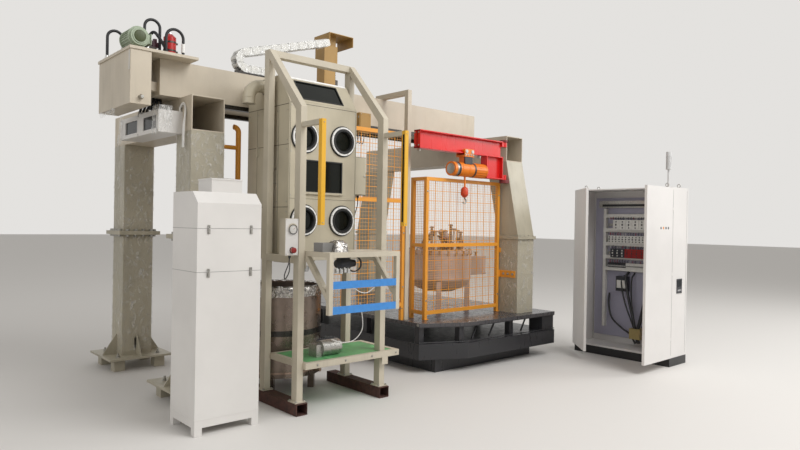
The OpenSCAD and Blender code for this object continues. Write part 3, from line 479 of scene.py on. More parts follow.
def make_piece(name, bm, finishes, bevel=0.0, body="base"):
    """Turn a mesh under construction into a piece that rides on a body."""
    bmesh.ops.recalc_face_normals(bm, faces=bm.faces[:])
    mesh = bpy.data.meshes.new(name)
    bm.to_mesh(mesh)
    bm.free()
    mesh.shade_smooth()
    mesh.set_sharp_from_angle(angle=radians(35))
    piece = bpy.data.objects.new(name, mesh)
    bpy.context.scene.collection.objects.link(piece)
    for each in finishes.split(", "):
        mesh.materials.append(finish(each))
    if bevel:
        edge = piece.modifiers.new("rounded edges", "BEVEL")
        edge.width = bevel
        edge.segments = 2
        edge.limit_method = "ANGLE"
    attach(piece, body)
    return piece


def add_stud(bm, at, axis, radius, height, slot=0, sides=12):
    """Add a low round head, such as a screw, a button or a cap."""
    add_lathe(bm, at, axis, [(0, 0), (0, radius), (height * 0.8, radius * 0.88), (height, 0)],
              slot, sides)


def add_gland(bm, at, axis, radius, slot=0, sides=12):
    """Add a fitting whose nut tapers to the cable or hose."""
    add_lathe(bm, at, axis, [(0, 0), (0, radius), (radius, radius), (radius * 2, radius * 0.65),
                             (radius * 2, 0)], slot, sides)


def add_cable(bm, points, radius, slot=0, steps=8):
    """Lay a smooth round cable through points."""
    add_sweep(bm, smooth_route(points, steps), radius, slot, 8)


def cable(bm, at, places, *spec):
    """Lay a cable through places in millimetres."""
    add_cable(bm, [at + mm(*place) for place in places], *spec)


def blocks(bm, at, *rows):
    """Add boxes, each from its low corner and high corner in millimetres, and maybe its slot."""
    for row in rows:
        add_block(bm, at + mm(*row[:3]), at + mm(*row[3:6]), *row[6:])


def rods(bm, at, spec, *rows):
    """Add bars of one radius, slot and count of sides, each from its two ends in millimetres."""
    for row in rows:
        add_rod(bm, at + mm(*row[:3]), at + mm(*row[3:]), *spec)


def repeat(add, bm, at, spec, *places):
    """Add the same fitting at some places in millimetres, or else at the spot itself."""
    for place in places or [ORIGIN]:
        add(bm, at + mm(*place), *spec)


bolts, studs, glands, hoops = (partial(repeat, add) for add in (
    add_bolt, add_stud, add_gland, add_ring))


def spot(node, *shares):
    """A place in a node's box: 0 is the low side and 1 the high side of an axis."""
    low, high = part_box(node)
    return Vector([a + (b - a) * share for a, b, share in zip(low, high, shares)])


def add_frame(bm, at, axes, size, band, depth, slot=0):
    """Add a flat frame in millimetres; axes are those of its width and height (0, 1 or 2)."""
    wide, high = axes
    w, h = size
    for a, b, c, d in ((0, 0, w, band), (0, h - band, w, h), (0, band, band, h - band),
                       (w - band, band, w, h - band)):
        low, top = Vector(), Vector()
        low[wide], low[high] = a, b
        top[wide], top[high], top[3 - wide - high] = c, d, depth
        add_block(bm, at + low / 1000, at + top / 1000, slot)


def add_skin(bm, rows, slot=0, closed=False):
    """Join rows of points into a skin; closed also joins the two ends of each row."""
    rows = [[bm.verts.new(point) for point in row] for row in rows]
    for first, second in zip(rows, rows[1:]):
        count = len(first)
        for k in range(count if closed else count - 1):
            m = (k + 1) % count
            bm.faces.new((first[k], first[m], second[m], second[k])).material_index = slot
    return rows


def add_sheet(bm, at, across, down, cells, seed, slot=0, lift=14):
    """Hang a creased sheet of film from a corner, along two edges given in millimetres."""
    across, down = mm(*across), mm(*down)
    out = across.cross(down).normalized() * lift / 1000
    rows = []
    for i in range(cells[1] + 1):
        row = []
        for k in range(cells[0] + 1):
            u, v = k / cells[0], i / cells[1]
            fold = noise.noise(Vector((u * 4 + seed, v * 3, seed)))
            ragged = 1 + 0.35 * noise.noise(Vector((u * 6, seed, 1.7)))
            row.append(at + across * u + down * v * ragged + out * fold * (0.3 + v))
        rows.append(row)
    add_skin(bm, rows, slot)


NODE_FINISH = {
    "gantry enamel": (
        "left_front_column", "left_rear_column", "right_front_column", "right_rear_column"),
    "beam enamel": ("left_cross_beam", "main_beam", "right_cross_beam", "tall_post",
                    "oil_tank"),
    "rolled steel": ("beam_rails",),
    "housing powder coat": ("instrument_box", "filter_body", "filter_head"),
    "motor enamel": ("pump_motor",),
    "cast iron": ("valve_block",),
    "accumulator enamel": ("accumulator",),
    "hose rubber": ("hydraulic_hoses",),
    "chain polyamide": ("energy_chain",),
    "mustard enamel": ("carriage", "mast_bracket", "drive_box"),
    "booth enamel": (
        "booth_front", "booth_slope", "booth_left_side", "booth_right_side", "booth_back",
        "booth_roof", "booth_floor", "exhaust_elbows", "side_box"),
    "dark glass": ("booth_glass",),
    "ring plastic": ("port_rings",),
    "station enamel": (
        "left_station_frame", "right_station_frame", "station_bars", "shelf_frame",
        "button_box"),
    "oxide primer": ("station_skids",),
    "vinyl mat": ("matted_step",),
    "blue tape": ("blue_bands",),
    "curtain yellow": ("light_curtains",),
    "zinc plate": ("step_motor",),
    # The dip tank takes the darker stainless with its painted shade
    "dark vessel stainless": ("dip_tank",),
    "furnace steel": ("furnace_pot", "furnace_piping"),
    "fence powder coat": ("guard_rail", "tall_fence", "front_fence", "fence_return"),
    # The deck takes the lighter grey of its painted sheen
    "platform top": ("platform_deck",),
    "platform enamel": ("platform_base",),
    "jib enamel": ("jib_boom",),
    "jib dark enamel": ("jib_bearings",),
    "hoist enamel": ("hoist",),
    "cabinet powder coat": ("cabinet_body", "near_door", "far_door"),
    "switchgear white": ("cabinet_panel",),
    "lamp grey": ("signal_lamp",),
}


class DIECAST_OT_frame_finishes(bpy.types.Operator):
    """Give every solid of the frame its finish"""
    bl_idname = "diecast.frame_finishes"
    bl_label = "Frame finishes"

    def execute(self, context):
        for name, nodes in NODE_FINISH.items():
            for node in nodes:
                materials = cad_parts[node].data.materials
                materials.clear()
                materials.append(finish(name))
        return {"FINISHED"}


class DIECAST_OT_stage(bpy.types.Operator):
    """Set the floor, the soft light and the photograph's camera"""
    bl_idname = "diecast.stage"
    bl_label = "Floor, light and camera"

    def execute(self, context):
        scene = context.scene
        bm = bmesh.new()
        half = 60.0
        add_block(bm, (-half, -half, -0.06), (half, half, -0.001))
        mesh = bpy.data.meshes.new("floor")
        bm.to_mesh(mesh)
        bm.free()
        floor = bpy.data.objects.new("floor", mesh)
        scene.collection.objects.link(floor)
        paint_coat, _, surface, _ = new_finish("floor paint", Roughness=0.7)
        surface.inputs["Base Color"].default_value = shade(linear("#d6d3cf"), 1)
        mesh.materials.append(paint_coat)

        world = scene.world or bpy.data.worlds.new("room")
        scene.world = world
        world.use_nodes = True
        tree = world.node_tree
        tree.nodes.clear()
        path = add_node(tree, "ShaderNodeLightPath")
        direct = add_node(tree, "ShaderNodeMath", {"operation": "MAXIMUM"}, {
            0: path.outputs["Is Camera Ray"], 1: path.outputs["Is Transmission Ray"]})
        seen = add_node(tree, "ShaderNodeMath", {"operation": "MAXIMUM"}, {
            0: direct.outputs["Value"], 1: path.outputs["Is Glossy Ray"]})
        lit = add_node(tree, "ShaderNodeBackground", inputs={
            "Color": (*linear("#f3f1ee"), 1), "Strength": 0.56})
        wall = add_node(tree, "ShaderNodeBackground", inputs={
            "Color": (*linear("#e9e7e4"), 1), "Strength": 0.95})
        mix = add_node(tree, "ShaderNodeMixShader", inputs={
            0: seen.outputs["Value"], 1: lit.outputs["Background"],
            2: wall.outputs["Background"]})
        add_node(tree, "ShaderNodeOutputWorld", inputs={"Surface": mix.outputs["Shader"]})

        lamps = (
            ("roof light", (1.0, -7.5, 8.5), (0.0, 0.0, 1.4), 6.0, 640),
            ("side light", (9.0, -6.5, 6.0), (1.0, 0.0, 1.2), 5.0, 330),
            ("left light", (-9.0, -3.0, 4.5), (0.0, 0.0, 1.4), 5.0, 90),
        )
        for name, at, aim, size, power in lamps:
            data = bpy.data.lights.new(name, "AREA")
            data.shape = "DISK"
            data.size = size
            data.energy = power
            lamp = bpy.data.objects.new(name, data)
            lamp.location = at
            lamp.rotation_euler = (Vector(aim) - Vector(at)).to_track_quat("-Z", "Y").to_euler()
            scene.collection.objects.link(lamp)

        camera_data = bpy.data.cameras.new("photo camera")
        camera_data.sensor_width = SENSOR_MM
        camera_data.lens = FOCAL_PIXELS / PHOTO_WIDTH * SENSOR_MM
        camera_data.clip_end = 200
        camera = bpy.data.objects.new("photo camera", camera_data)
        ahead = Vector((sin(pi / 2 - CAMERA_TURN), sin(CAMERA_TURN), 0))
        ahead = (ahead + Vector((0, 0, tan(CAMERA_TILT)))).normalized()
        look = ahead.to_track_quat("-Z", "Y").to_matrix().to_4x4()
        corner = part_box("left_cross_beam")[0]
        at = Vector((corner.x + CAMERA_BACK[0], corner.y + CAMERA_BACK[1], CAMERA_HEIGHT))
        camera.matrix_world = (Matrix.Translation(at) @ look
                               @ Matrix.Rotation(CAMERA_ROLL, 4, "Z"))
        scene.collection.objects.link(camera)
        scene.camera = camera
        scene.view_settings.view_transform = "Standard"
        return {"FINISHED"}


def add_round(bm, centre, axis, count, build, start=0.0):
    """Repeat what build adds, turned in equal steps about an axis."""
    for i in range(count):
        before = len(bm.verts)
        build(bm)
        bm.verts.ensure_lookup_table()
        turn = Matrix.Rotation(start + 2 * pi * i / count, 4, Vector(axis))
        move = Matrix.Translation(centre) @ turn @ Matrix.Translation(-Vector(centre))
        bmesh.ops.transform(bm, matrix=move, verts=bm.verts[before:])


def place_new(bm, before, matrix):
    """Move everything added since a count of vertices was taken."""
    bm.verts.ensure_lookup_table()
    bmesh.ops.transform(bm, matrix=matrix, verts=bm.verts[before:])


def add_wrap(bm, low, high, seed, slot=0):
    """Wrap creased film round an upright box."""
    depth = sizes().film
    around, rows = 14, max(8, round((high.z - low.z) / 0.025))
    middle = (low + high) / 2
    corners = [Vector((x, y)) for x, y in (
        (low.x, low.y), (high.x, low.y), (high.x, high.y), (low.x, high.y))]
    grid = []
    for row in range(rows + 1):
        z = low.z + (high.z - low.z) * row / rows
        ring = []
        for a, b in zip(corners, corners[1:] + corners[:1]):
            for k in range(around):
                at = a.lerp(b, k / around)
                out = (at - Vector((middle.x, middle.y))).normalized()
                fold = noise.noise(Vector((at.x * 11 + z * 2, at.y * 11, z * 5 + seed)))
                ridge = abs(noise.noise(Vector((at.x * 26, at.y * 26 - z * 4, z * 9 + seed))))
                lift = depth * (0.9 + fold * 0.9 + ridge * 1.6)
                ring.append((at.x + out.x * lift, at.y + out.y * lift, z + depth * fold))
        grid.append(ring)
    add_skin(bm, grid, slot, True)


# Where the gantry's bolts sit, in millimetres from the middle of a column
FOOT_BOLT = 212.5
BASE_TOP = 140
JOINT_LOW = 1450
JOINT_HIGH = 1490
JOINT_HALF = 217.5
COLUMN_HALF = 157.5
RIGHT_JOINT_HALF = 177.5
DECK_TOP = 545


def column_middles():
    """Plan centre of each column's straight lower length."""
    middles = {}
    for node in ("left_front_column", "left_rear_column"):
        low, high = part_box(node)
        middles[node] = (low + high) / 2
    half = RIGHT_JOINT_HALF / 1000
    low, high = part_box("right_front_column")
    middles["right_front_column"] = Vector(((low.x + high.x) / 2, low.y + half, 0))
    low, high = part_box("right_rear_column")
    middles["right_rear_column"] = Vector(((low.x + high.x) / 2, high.y - half, 0))
    return middles


def build_column_fittings():
    steel = bmesh.new()
    welds = bmesh.new()
    across = sizes().bolt
    for node, middle in column_middles().items():
        left = node.startswith("left")
        if left:
            for sx in (-1, 1):
                for sy in (-1, 1):
                    at = Vector((middle.x, middle.y, 0)) + mm(sx * FOOT_BOLT, sy * FOOT_BOLT,
                            BASE_TOP)
                    bolts(steel, at, (UP, across))
                    rods(steel, at, (across * 0.33,), (0, 0, 0, 0, 0, 42))
        reach = (JOINT_HALF + COLUMN_HALF) / 2 if left else 168
        size = across if left else across * 0.45
        for side in range(4):
            turn = Matrix.Rotation(side * pi / 2, 3, "Z")
            for along in (-125, -42, 42, 125):
                out = turn @ mm(reach, along, 0)
                for z, way in ((JOINT_HIGH, 1), (JOINT_LOW, -1)):
                    at = Vector((middle.x, middle.y, z / 1000)) + out
                    add_bolt(steel, at, (0, 0, way), size, washer=left)
        foot = BASE_TOP if left else DECK_TOP
        for z in (foot, JOINT_LOW, JOINT_HIGH):
            ring = [Vector((middle.x, middle.y, z / 1000)) + mm(x * COLUMN_HALF, y * COLUMN_HALF,
                    0) for x, y in ((-1, -1), (1, -1), (1, 1), (-1, 1))]
            for a, b in zip(ring, ring[1:] + ring[:1]):
                add_rod(welds, a, b, sizes().bead, sides=6)
    make_piece("column_bolts", steel, "zinc plate")
    make_piece("column_welds", welds, "gantry enamel")


class DIECAST_OT_column_fittings(bpy.types.Operator):
    """Bolt the columns' feet and joints and run their fillet welds"""
    bl_idname = "diecast.column_fittings"
    bl_label = "Column bolts and welds"

    def execute(self, context):
        build_column_fittings()
        return {"FINISHED"}


def build_wrapping_film():
    wraps = {"left_front_column": ((180, 1440), (1500, 2405)), "left_rear_column": ((180, 1440),
            (1500, 2405)), "right_front_column": ((560, 1440),)}
    middles = column_middles()
    for seed, (node, spans) in enumerate(wraps.items()):
        bm = bmesh.new()
        for low_z, high_z in spans:
            middle = Vector((middles[node].x, middles[node].y, 0))
            half = COLUMN_HALF + 1
            add_wrap(bm, middle + mm(-half, -half, low_z), middle + mm(half, half, high_z),
                     seed * 7.3 + low_z)
        make_piece("film_" + node, bm, "wrapping film")
    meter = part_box("instrument_box")[0]
    bm = bmesh.new()
    add_sheet(bm, spot("oil_tank", 0, 1, 0) + mm(14, -20, 34), (0, -420, 0), (0, 0, -84), (26, 8),
              3.1)
    add_sheet(bm, meter + mm(-4, -6, 236), (0, 128, 0), (0, 0, -225), (14, 18), 8.4)
    add_sheet(bm, meter + mm(-4, 900, 240), (0, 85, 0), (-20, 0, -300), (10, 18), 5.7)
    add_sheet(bm, meter + mm(2, -8, 240), (120, 0, 0), (0, 0, -225), (12, 16), 2.3)
    make_piece("film_tank_and_meters", bm, "milky film")


class DIECAST_OT_wrapping_film(bpy.types.Operator):
    """Wrap the columns and the oil tank in clear film"""
    bl_idname = "diecast.wrapping_film"
    bl_label = "Wrapping film"

    def execute(self, context):
        build_wrapping_film()
        return {"FINISHED"}


# Hydraulic unit, in millimetres from the front left corner of the tank's lid: the hoses' feet
# (X, Y, Z), span and rise, and which foot has the white sleeve
HOSE_ARCHES = ((35, 695, 0, 140, 210, 1), (265, 400, 0, 140, 300, 0), (405, 250, 0, 160, 200, 1))
ACCUMULATOR_AXIS = (475, 340)


def arch_route(foot, span, rise):
    """A hose's line up from the lid, over and down again."""
    radius = span / 2000
    route = [foot + mm(0, 0, z) for z in (0, rise / 3, rise * 2 / 3)]
    centre = foot + mm(span / 2, 0, rise)
    route += [centre + Vector((-cos(a) * radius, 0,
                               sin(a) * radius)) for a in (pi * i / 18 for i in range(19))]
    route += [foot + mm(span, 0, z) for z in (rise * 2 / 3, rise / 3, 0)]
    return route


def dress_tank(low, high, lid):
    """Fit lid screws, level strip, filler and drain."""
    bm = bmesh.new()
    screw = sizes().screw
    bolts(bm, lid, (UP, screw), *product((10, 160), range(30, 840, 95), (0,)))
    strip = lid + mm(10, 10, -200)
    blocks(bm, strip, (-4, 14, 0, 0, 32, 165, 1))
    studs(bm, lid, (UP, 0.04, 0.08, 2, 24), (220, 560, 0))
    glands(bm, Vector((low.x + 0.0985, low.y + 0.01, low.z + 0.06)), (FRONT, 0.022, 0, 6),
           (0, 0, 0))
    make_piece("tank_fittings", bm, "zinc plate, switchgear white, switchgear grey")


def dress_motor():
    """Rib the pump motor and fit its cowl."""
    low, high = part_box("pump_motor")
    radius = 0.08
    axis = Vector((low.x + radius, low.y + 0.03, high.z - radius))

    def rib(bm):
        blocks(bm, axis, (-1.8, 22, 76, 1.8, 205, 89))

    bm = bmesh.new()
    add_round(bm, axis, BACK, 26, rib)
    hoops(bm, axis, (BACK, 0.06, 0.09, 0.014), *product((0,), (4, 212), (0,)))
    hoops(bm, axis, (BACK, 0.05, 0.076, 0.03), (0, -24, 0))
    add_lathe(bm, axis + mm(0, -38, 0), BACK, [(0, 0), (0, 0.03), (0.004, 0.048), (0.014, 0.056),
                                               (0.044, 0.058), (0.044, 0)], 1, 32)
    box = Vector((high.x, axis.y, axis.z)) + mm(0, 52, -38)
    blocks(bm, box, (0, 0, 0, 8, 106, 96))
    glands(bm, box, (DOWN, 0.013, 2), (-25, 53, 0))
    make_piece("motor_ribs", bm, "motor enamel, motor cowl, cable black", 0.0008)


def dress_valves(lid):
    """Fit coils, ports and gauge to the valves."""
    bm = bmesh.new()
    block = lid + mm(185, 420, 0)
    for y in (20, 95, 170):
        valve = block + mm(30, y, 130)
        for x, way in ((-60, -1), (140, 1)):
            blocks(bm, valve, (x, 4, 5, x + 58, 46, 52), (x + 14, 10, 52, x + 44, 40, 84))
            glands(bm, valve, ((way, 0, 0), 0.012, 1), (x + 29 * (1 + way), 25, 28))
        bolts(bm, valve, (UP, 0.009, 1, False), *product((12, 128), (8, 42), (60,)))
        glands(bm, valve, (UP, 0.019, 2), (70, 25, 105))
    glands(bm, block, (RIGHT, 0.016, 1, 6), *product((200,), (40, 120, 200), (30, 95)))
    for x, z in ((30, 40), (100, 60), (165, 30)):
        studs(bm, block, (FRONT, 0.02, 0.014, 2, 6), (x, 0, z))
    gauge = block + mm(-30, 70, 150)
    rods(bm, gauge, (0.006, 1, 8), (0, 0, -60, 0, 0, 0))
    studs(bm, gauge, (LEFT, 0.034, 0.028, 1, 28), (14, 0, 26))
    cable(bm, block, ((120, 20, 205), (150, -50, 250), (185, -90, 200), (225, -140, 100),
                      (250, -180, 4)), 0.014, 3)
    stack = lid + mm(265, 400, 0)
    for z, half, slot in ((0, 36, 1), (36, 28, 4), (80, 33, 4), (124, 25, 1), (150, 31, 4)):
        blocks(bm, stack, (-half, -half, z, half, half, z + 34, slot))
    for x, z in ((0, 18), (-14, 60), (12, 98), (0, 166)):
        glands(bm, stack, (FRONT, 0.017, 1, 6), (x, -25, z))
    make_piece("valve_coils", bm,
               "valve burgundy, chrome, ring plastic, hose rubber, switchgear grey", 0.0008)


def dress_accumulator(lid):
    """Clamp the accumulator and cap it."""
    bm = bmesh.new()
    foot = lid + mm(*ACCUMULATOR_AXIS, 0)
    for z in (88, 165):
        hoops(bm, foot, (UP, 0.0555, 0.0585, 0.016), (0, 0, z))
        blocks(bm, foot, (54, -9, z, 74, 9, z + 16))
    top = foot + mm(0, 0, 248)
    studs(bm, top, (UP, 0.024, 0.014, 1, 16))
    glands(bm, top, (UP, 0.013, 1))
    elbow = foot + mm(0, 0, 16)
    rods(bm, elbow, (0.011, 1, 12), (0, 0, 0, 70, 0, 0))
    glands(bm, elbow, (RIGHT, 0.018, 1, 6), (60, 0, 0))
    make_piece("accumulator_clamps", bm, "cast iron, chrome", 0.0008)


def run_hoses(lid):
    """Lay the hoses that arch over the lid."""
    bm = bmesh.new()
    for x, y, z, span, rise, sleeved in HOSE_ARCHES:
        foot = lid + mm(x, y, z)
        add_sweep(bm, arch_route(foot, span, rise), sizes().hose / 2, 0, 14)
        for end in (0, 1):
            at = foot + mm(span * end, 0, 0)
            glands(bm, at, (UP, 0.021, 1))
            if end == sleeved:
                rods(bm, at, (0.0165, 2), (0, 0, rise * 0.4, 0, 0, rise * 0.4 + 80))
    hoses = make_piece("hydraulic_hoses_dressed", bm,
                       "hose rubber, chrome, ring plastic")
    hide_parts("hydraulic_hoses")


def run_beam_hoses():
    """Lay the hoses and conduits on the beam."""
    bm = bmesh.new()
    for i in range(4):
        start = spot("instrument_box", 0, 0, 1) + mm(16 + 30 * i, 245, -2)
        cable(bm, start, ((0, 0, 0), (0, -6, 60), (10, 10, 118), (20, 80, 142), (20, 190, 120),
                          (6, 250, 50), (0, 255, 0)), 0.012)
        glands(bm, start, (UP, 0.016, 1, 6), *product((0,), (0, 255), (0,)))
    make_piece("beam_hoses", bm, "hose rubber, chrome")
    bm = bmesh.new()
    for i in range(3):
        start = spot("instrument_box", 1, 0, 1) + mm(-24 + 7 * i, 6 + 10 * i, -2)
        cable(bm, start, ((0, 0, 0), (0, -6, 40), (16, -40, 78 - 8 * i), (12 + 3 * i, -90, 20),
                          (-4 - 8 * i, -110 - 4 * i, -120), (-8 - 8 * i, -108 - 4 * i, -330)),
              0.008)
    make_piece("beam_conduits", bm, "cable white")


class DIECAST_OT_hydraulic_fittings(bpy.types.Operator):
    """Fit out the hydraulic unit: motor ribs, valve coils, hoses, accumulator and gauges"""
    bl_idname = "diecast.hydraulic_fittings"
    bl_label = "Hydraulic unit"

    def execute(self, context):
        low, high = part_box("oil_tank")
        lid = Vector((low.x, low.y, high.z))
        dress_tank(low, high, lid)
        dress_motor()
        dress_valves(lid)
        dress_accumulator(lid)
        run_hoses(lid)
        run_beam_hoses()
        return {"FINISHED"}


class DIECAST_OT_instrument_windows(bpy.types.Operator):
    """Glaze the instrument box and screw on its cover"""
    bl_idname = "diecast.instrument_windows"
    bl_label = "Instrument box"

    def execute(self, context):
        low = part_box("instrument_box")[0]
        bm = bmesh.new()
        for y in (40, 505):
            pane = low + mm(0, y, 30)
            blocks(bm, pane, (9, 3, 3, 11.5, 327, 127, 1))
            add_frame(bm, pane + mm(-2, -8, -8), (1, 2), (346, 146), 14, 12, 0)
        bolts(bm, low, (LEFT, 0.01, 2, False), *product((0,), (14, 485, 956), (12, 188)))
        make_piece("instrument_windows", bm,
                   "housing powder coat, meter glass, zinc plate", 0.001)
        return {"FINISHED"}


# Energy chain, in millimetres from the low front corner of its box
CHAIN_BEND = (145, 151)
CHAIN_RADIUS = 85
CHAIN_LOWER = 305
CHAIN_UPPER = 1030
CHAIN_RISE = 302
CHAIN_PITCH = 56


def chain_line():
    """Points and directions along the middle of the energy chain, one for each link."""
    low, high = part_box("energy_chain")
    bend = Vector((low.x, (low.y + high.y) / 2, low.z)) + mm(CHAIN_BEND[0], 0, CHAIN_BEND[1])
    lower = CHAIN_LOWER / CHAIN_PITCH
    radius = CHAIN_RADIUS / 1000
    arc = pi * CHAIN_RADIUS / CHAIN_PITCH
    slope = Vector((CHAIN_UPPER, 0, CHAIN_RISE)).normalized()
    upper = hypot(CHAIN_UPPER, CHAIN_RISE) / CHAIN_PITCH
    pitch = CHAIN_PITCH / 1000
    line = []
    for i in range(int(lower + arc + upper)):
        if i < lower:
            line.append((bend + Vector(((lower - i) * pitch, 0, -radius)), Vector((-1, 0, 0))))
        elif i < lower + arc:
            a = -pi / 2 - (i - lower) / arc * pi
            line.append((bend + Vector((cos(a), 0, sin(a))) * radius, Vector((sin(a), 0, -cos(a)))))
        else:
            line.append((bend + Vector((0, 0, radius)) + slope * (i - lower - arc) * pitch, slope))
    return line


def build_chain_links():
    low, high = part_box("energy_chain")
    half_w = (high.y - low.y) / 2 - 0.01
    bm = bmesh.new()
    outline = [(-36, -26), (-24, -37), (24, -37), (36, -26), (36, 26), (24, 37), (-24, 37),
               (-36, 26)]
    for i, (at, ahead) in enumerate(chain_line()):
        before = len(bm.verts)
        inset = 0.006 if i % 2 else 0.0
        for side in (-1, 1):
            edge = side * (half_w - inset)
            add_plate(bm, [(x / 1000, z / 1000) for x, z in outline], 1,
                      min(edge, edge - side * 0.006), max(edge, edge - side * 0.006))
            add_rod(bm, (-0.028, edge, 0), (-0.028, edge + side * 0.003, 0), 0.012, 0, 12)
        for z in (-37, 31):
            add_block(bm, (-0.016, -half_w + 0.006, z / 1000), (0.016, half_w - 0.006,
                    z / 1000 + 0.006))
        turn = Matrix.Rotation(atan2(ahead.x, ahead.z) - pi / 2, 4, "Y")
        place_new(bm, before, Matrix.Translation(at) @ turn)
    length = CHAIN_BEND[0] + CHAIN_LOWER + 20
    blocks(bm, low, (0, 0, 0, length, 130, 3, 1))
    for y in (0, 127):
        blocks(bm, low, (0, y, 0, length, y + 3, 26, 1))
    for y in (0, 1, 2, 3):
        line = [at + mm(0, -36 + 24 * y, -10) for at, ahead in chain_line()]
        add_sweep(bm, line, 0.009, 2, 8)
    links = make_piece("energy_chain_links", bm,
                       "chain polyamide, rolled steel, cable black", 0.0008)
    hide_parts("energy_chain")
    bm = bmesh.new()
    rings = []
    for i, (at, ahead) in enumerate(chain_line()):
        out = Vector((0, 1, 0)).cross(ahead)
        ring = []
        for k in range(24):
            a = 2 * pi * k / 24
            across = max(-1, min(1, 1.5 * cos(a))) * (half_w + 0.004)
            height = max(-1, min(1, 1.5 * sin(a))) * 0.042
            ripple = 1 + 0.09 * noise.noise(Vector((k * 0.9, i * 0.7, 3.1)))
            ring.append(bm.verts.new(at + Vector((0, across * ripple, 0)) + out * height * ripple))
        rings.append(ring)
    for first, second in zip(rings, rings[1:]):
        for k in range(24):
            m = (k + 1) % 24
            bm.faces.new((first[k], first[m], second[m], second[k]))
    make_piece("energy_chain_film", bm, "milky film")


class DIECAST_OT_chain_links(bpy.types.Operator):
    """Build the energy chain link by link on its tray, with its film"""
    bl_idname = "diecast.chain_links"
    bl_label = "Energy chain"

    def execute(self, context):
        build_chain_links()
        return {"FINISHED"}


def build_manipulator_parts():
    low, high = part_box("beam_rails")
    bm = bmesh.new()
    for y in (179.5, 534.5):
        x = 620
        while x < (high.x - low.x) * 1000 - 20:
            bolts(bm, Vector((low.x, low.y, high.z)), (UP, 0.009, 0, False), (x, y + 10.5, 0))
            x += 110
    make_piece("rail_screws", bm, "zinc plate")
    bm = bmesh.new()
    base = spot("carriage", 0, 0, 0)
    bolts(bm, base, (UP, 0.017, 0), *product((32, 72, 232, 288), (24, 376), (50,)))
    mast = base + mm(60, 70, 50)
    for i in range(38):
        blocks(bm, mast, (150, 60, 8 + 10 * i, 160, 90, 13 + 10 * i, 1))
    blocks(bm, mast, (150, 55, 0, 154, 95, 390, 1))
    gearbox = base + mm(225, 150, 50)
    blocks(bm, gearbox, (0, 0, 0, 80, 110, 120, 2))
    add_lathe(bm, gearbox + mm(40, 55, 120), UP, [(0, 0), (0, 0.042), (0.012, 0.042),
                                                  (0.012, 0.036), (0.13, 0.036), (0.145, 0.03),
                                                  (0.145, 0)], 3, 24)
    for z in (30, 60, 90):
        hoops(bm, gearbox, (UP, 0.035, 0.039, 0.006, 3), (40, 55, 120 + z))
    make_piece("carriage_drive", bm,
               "zinc plate, rolled steel, cast iron, switchgear grey", 0.001, body="manipulator")
    box_low, box_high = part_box("drive_box")
    bm = bmesh.new()
    for z in (60, 160):
        blocks(bm, box_low, (-3, 8, z, 0, 22, z + 22))
    add_block(bm, box_low + mm(10, -4, 10), Vector((box_high.x, box_low.y, box_high.z)) + mm(-10,
            0, -10), 1)
    bolts(bm, box_low, (FRONT, 0.009, 2, False), *product((18, 142), (-4,), (18, 202)))
    for x in (40, 80, 120):
        gland = box_low + mm(x, 70, 0)
        glands(bm, gland, (DOWN, 0.013, 3))
        cable(bm, gland, ((0, 0, -20), (4, 4, -60), (30, 60, -105), (50, 120, -62), (54, 150, 60)),
              sizes().cable / 2, 3)
    make_piece("drive_box_cover", bm,
               "zinc plate, mustard enamel, zinc plate, cable black", 0.001)


class DIECAST_OT_manipulator_parts(bpy.types.Operator):
    """Bolt down the rails and fit the carriage, the mast and its drive"""
    bl_idname = "diecast.manipulator_parts"
    bl_label = "Manipulator"

    def execute(self, context):
        build_manipulator_parts()
        return {"FINISHED"}


# Booth openings, in millimetres from the booth's low front left corner
PORT_AT = ((163.5, 307), (586.5, 307), (163.5, 1055), (586.5, 1055))
PORT_RADIUS = 100
RING_RADIUS = 134
WINDOW_LOW = (172.5, 570)
WINDOW_SIZE = (405, 277)
SLOPE_START = 1370
SLOPE_RUN = (180, 250)


def fit_ports(corner):
    """Fit the glove ports and their sleeves."""
    bm = bmesh.new()
    bore = PORT_RADIUS / 1000
    for x, z in PORT_AT:
        face = corner + mm(x, 0, z)
        ring = RING_RADIUS / 1000
        hoops(bm, face, (FRONT, ring - 0.001, ring + 0.011, 0.009, 0, 48))
        hoops(bm, face, (FRONT, bore - 0.004, bore + 0.018, 0.004, 0, 48), (0, -22, 0))
        for k in range(8):
            a = pi / 8 + k * pi / 4
            at = face + mm(126 * cos(a), -22, 126 * sin(a))
            studs(bm, at, (FRONT, 0.004, 0.003, 1))
        profile = [(k * 0.012, bore - 0.001 - 0.004 * k - 0.004 * (k % 2)) for k in range(9)]
        profile += [(0.1, 0.045), (0.112, 0.02), (0.115, 0)]
        add_lathe(bm, face + mm(0, -18, 0), BACK, profile, 0, 32)
    make_piece("port_sleeves", bm, "neoprene, zinc plate")


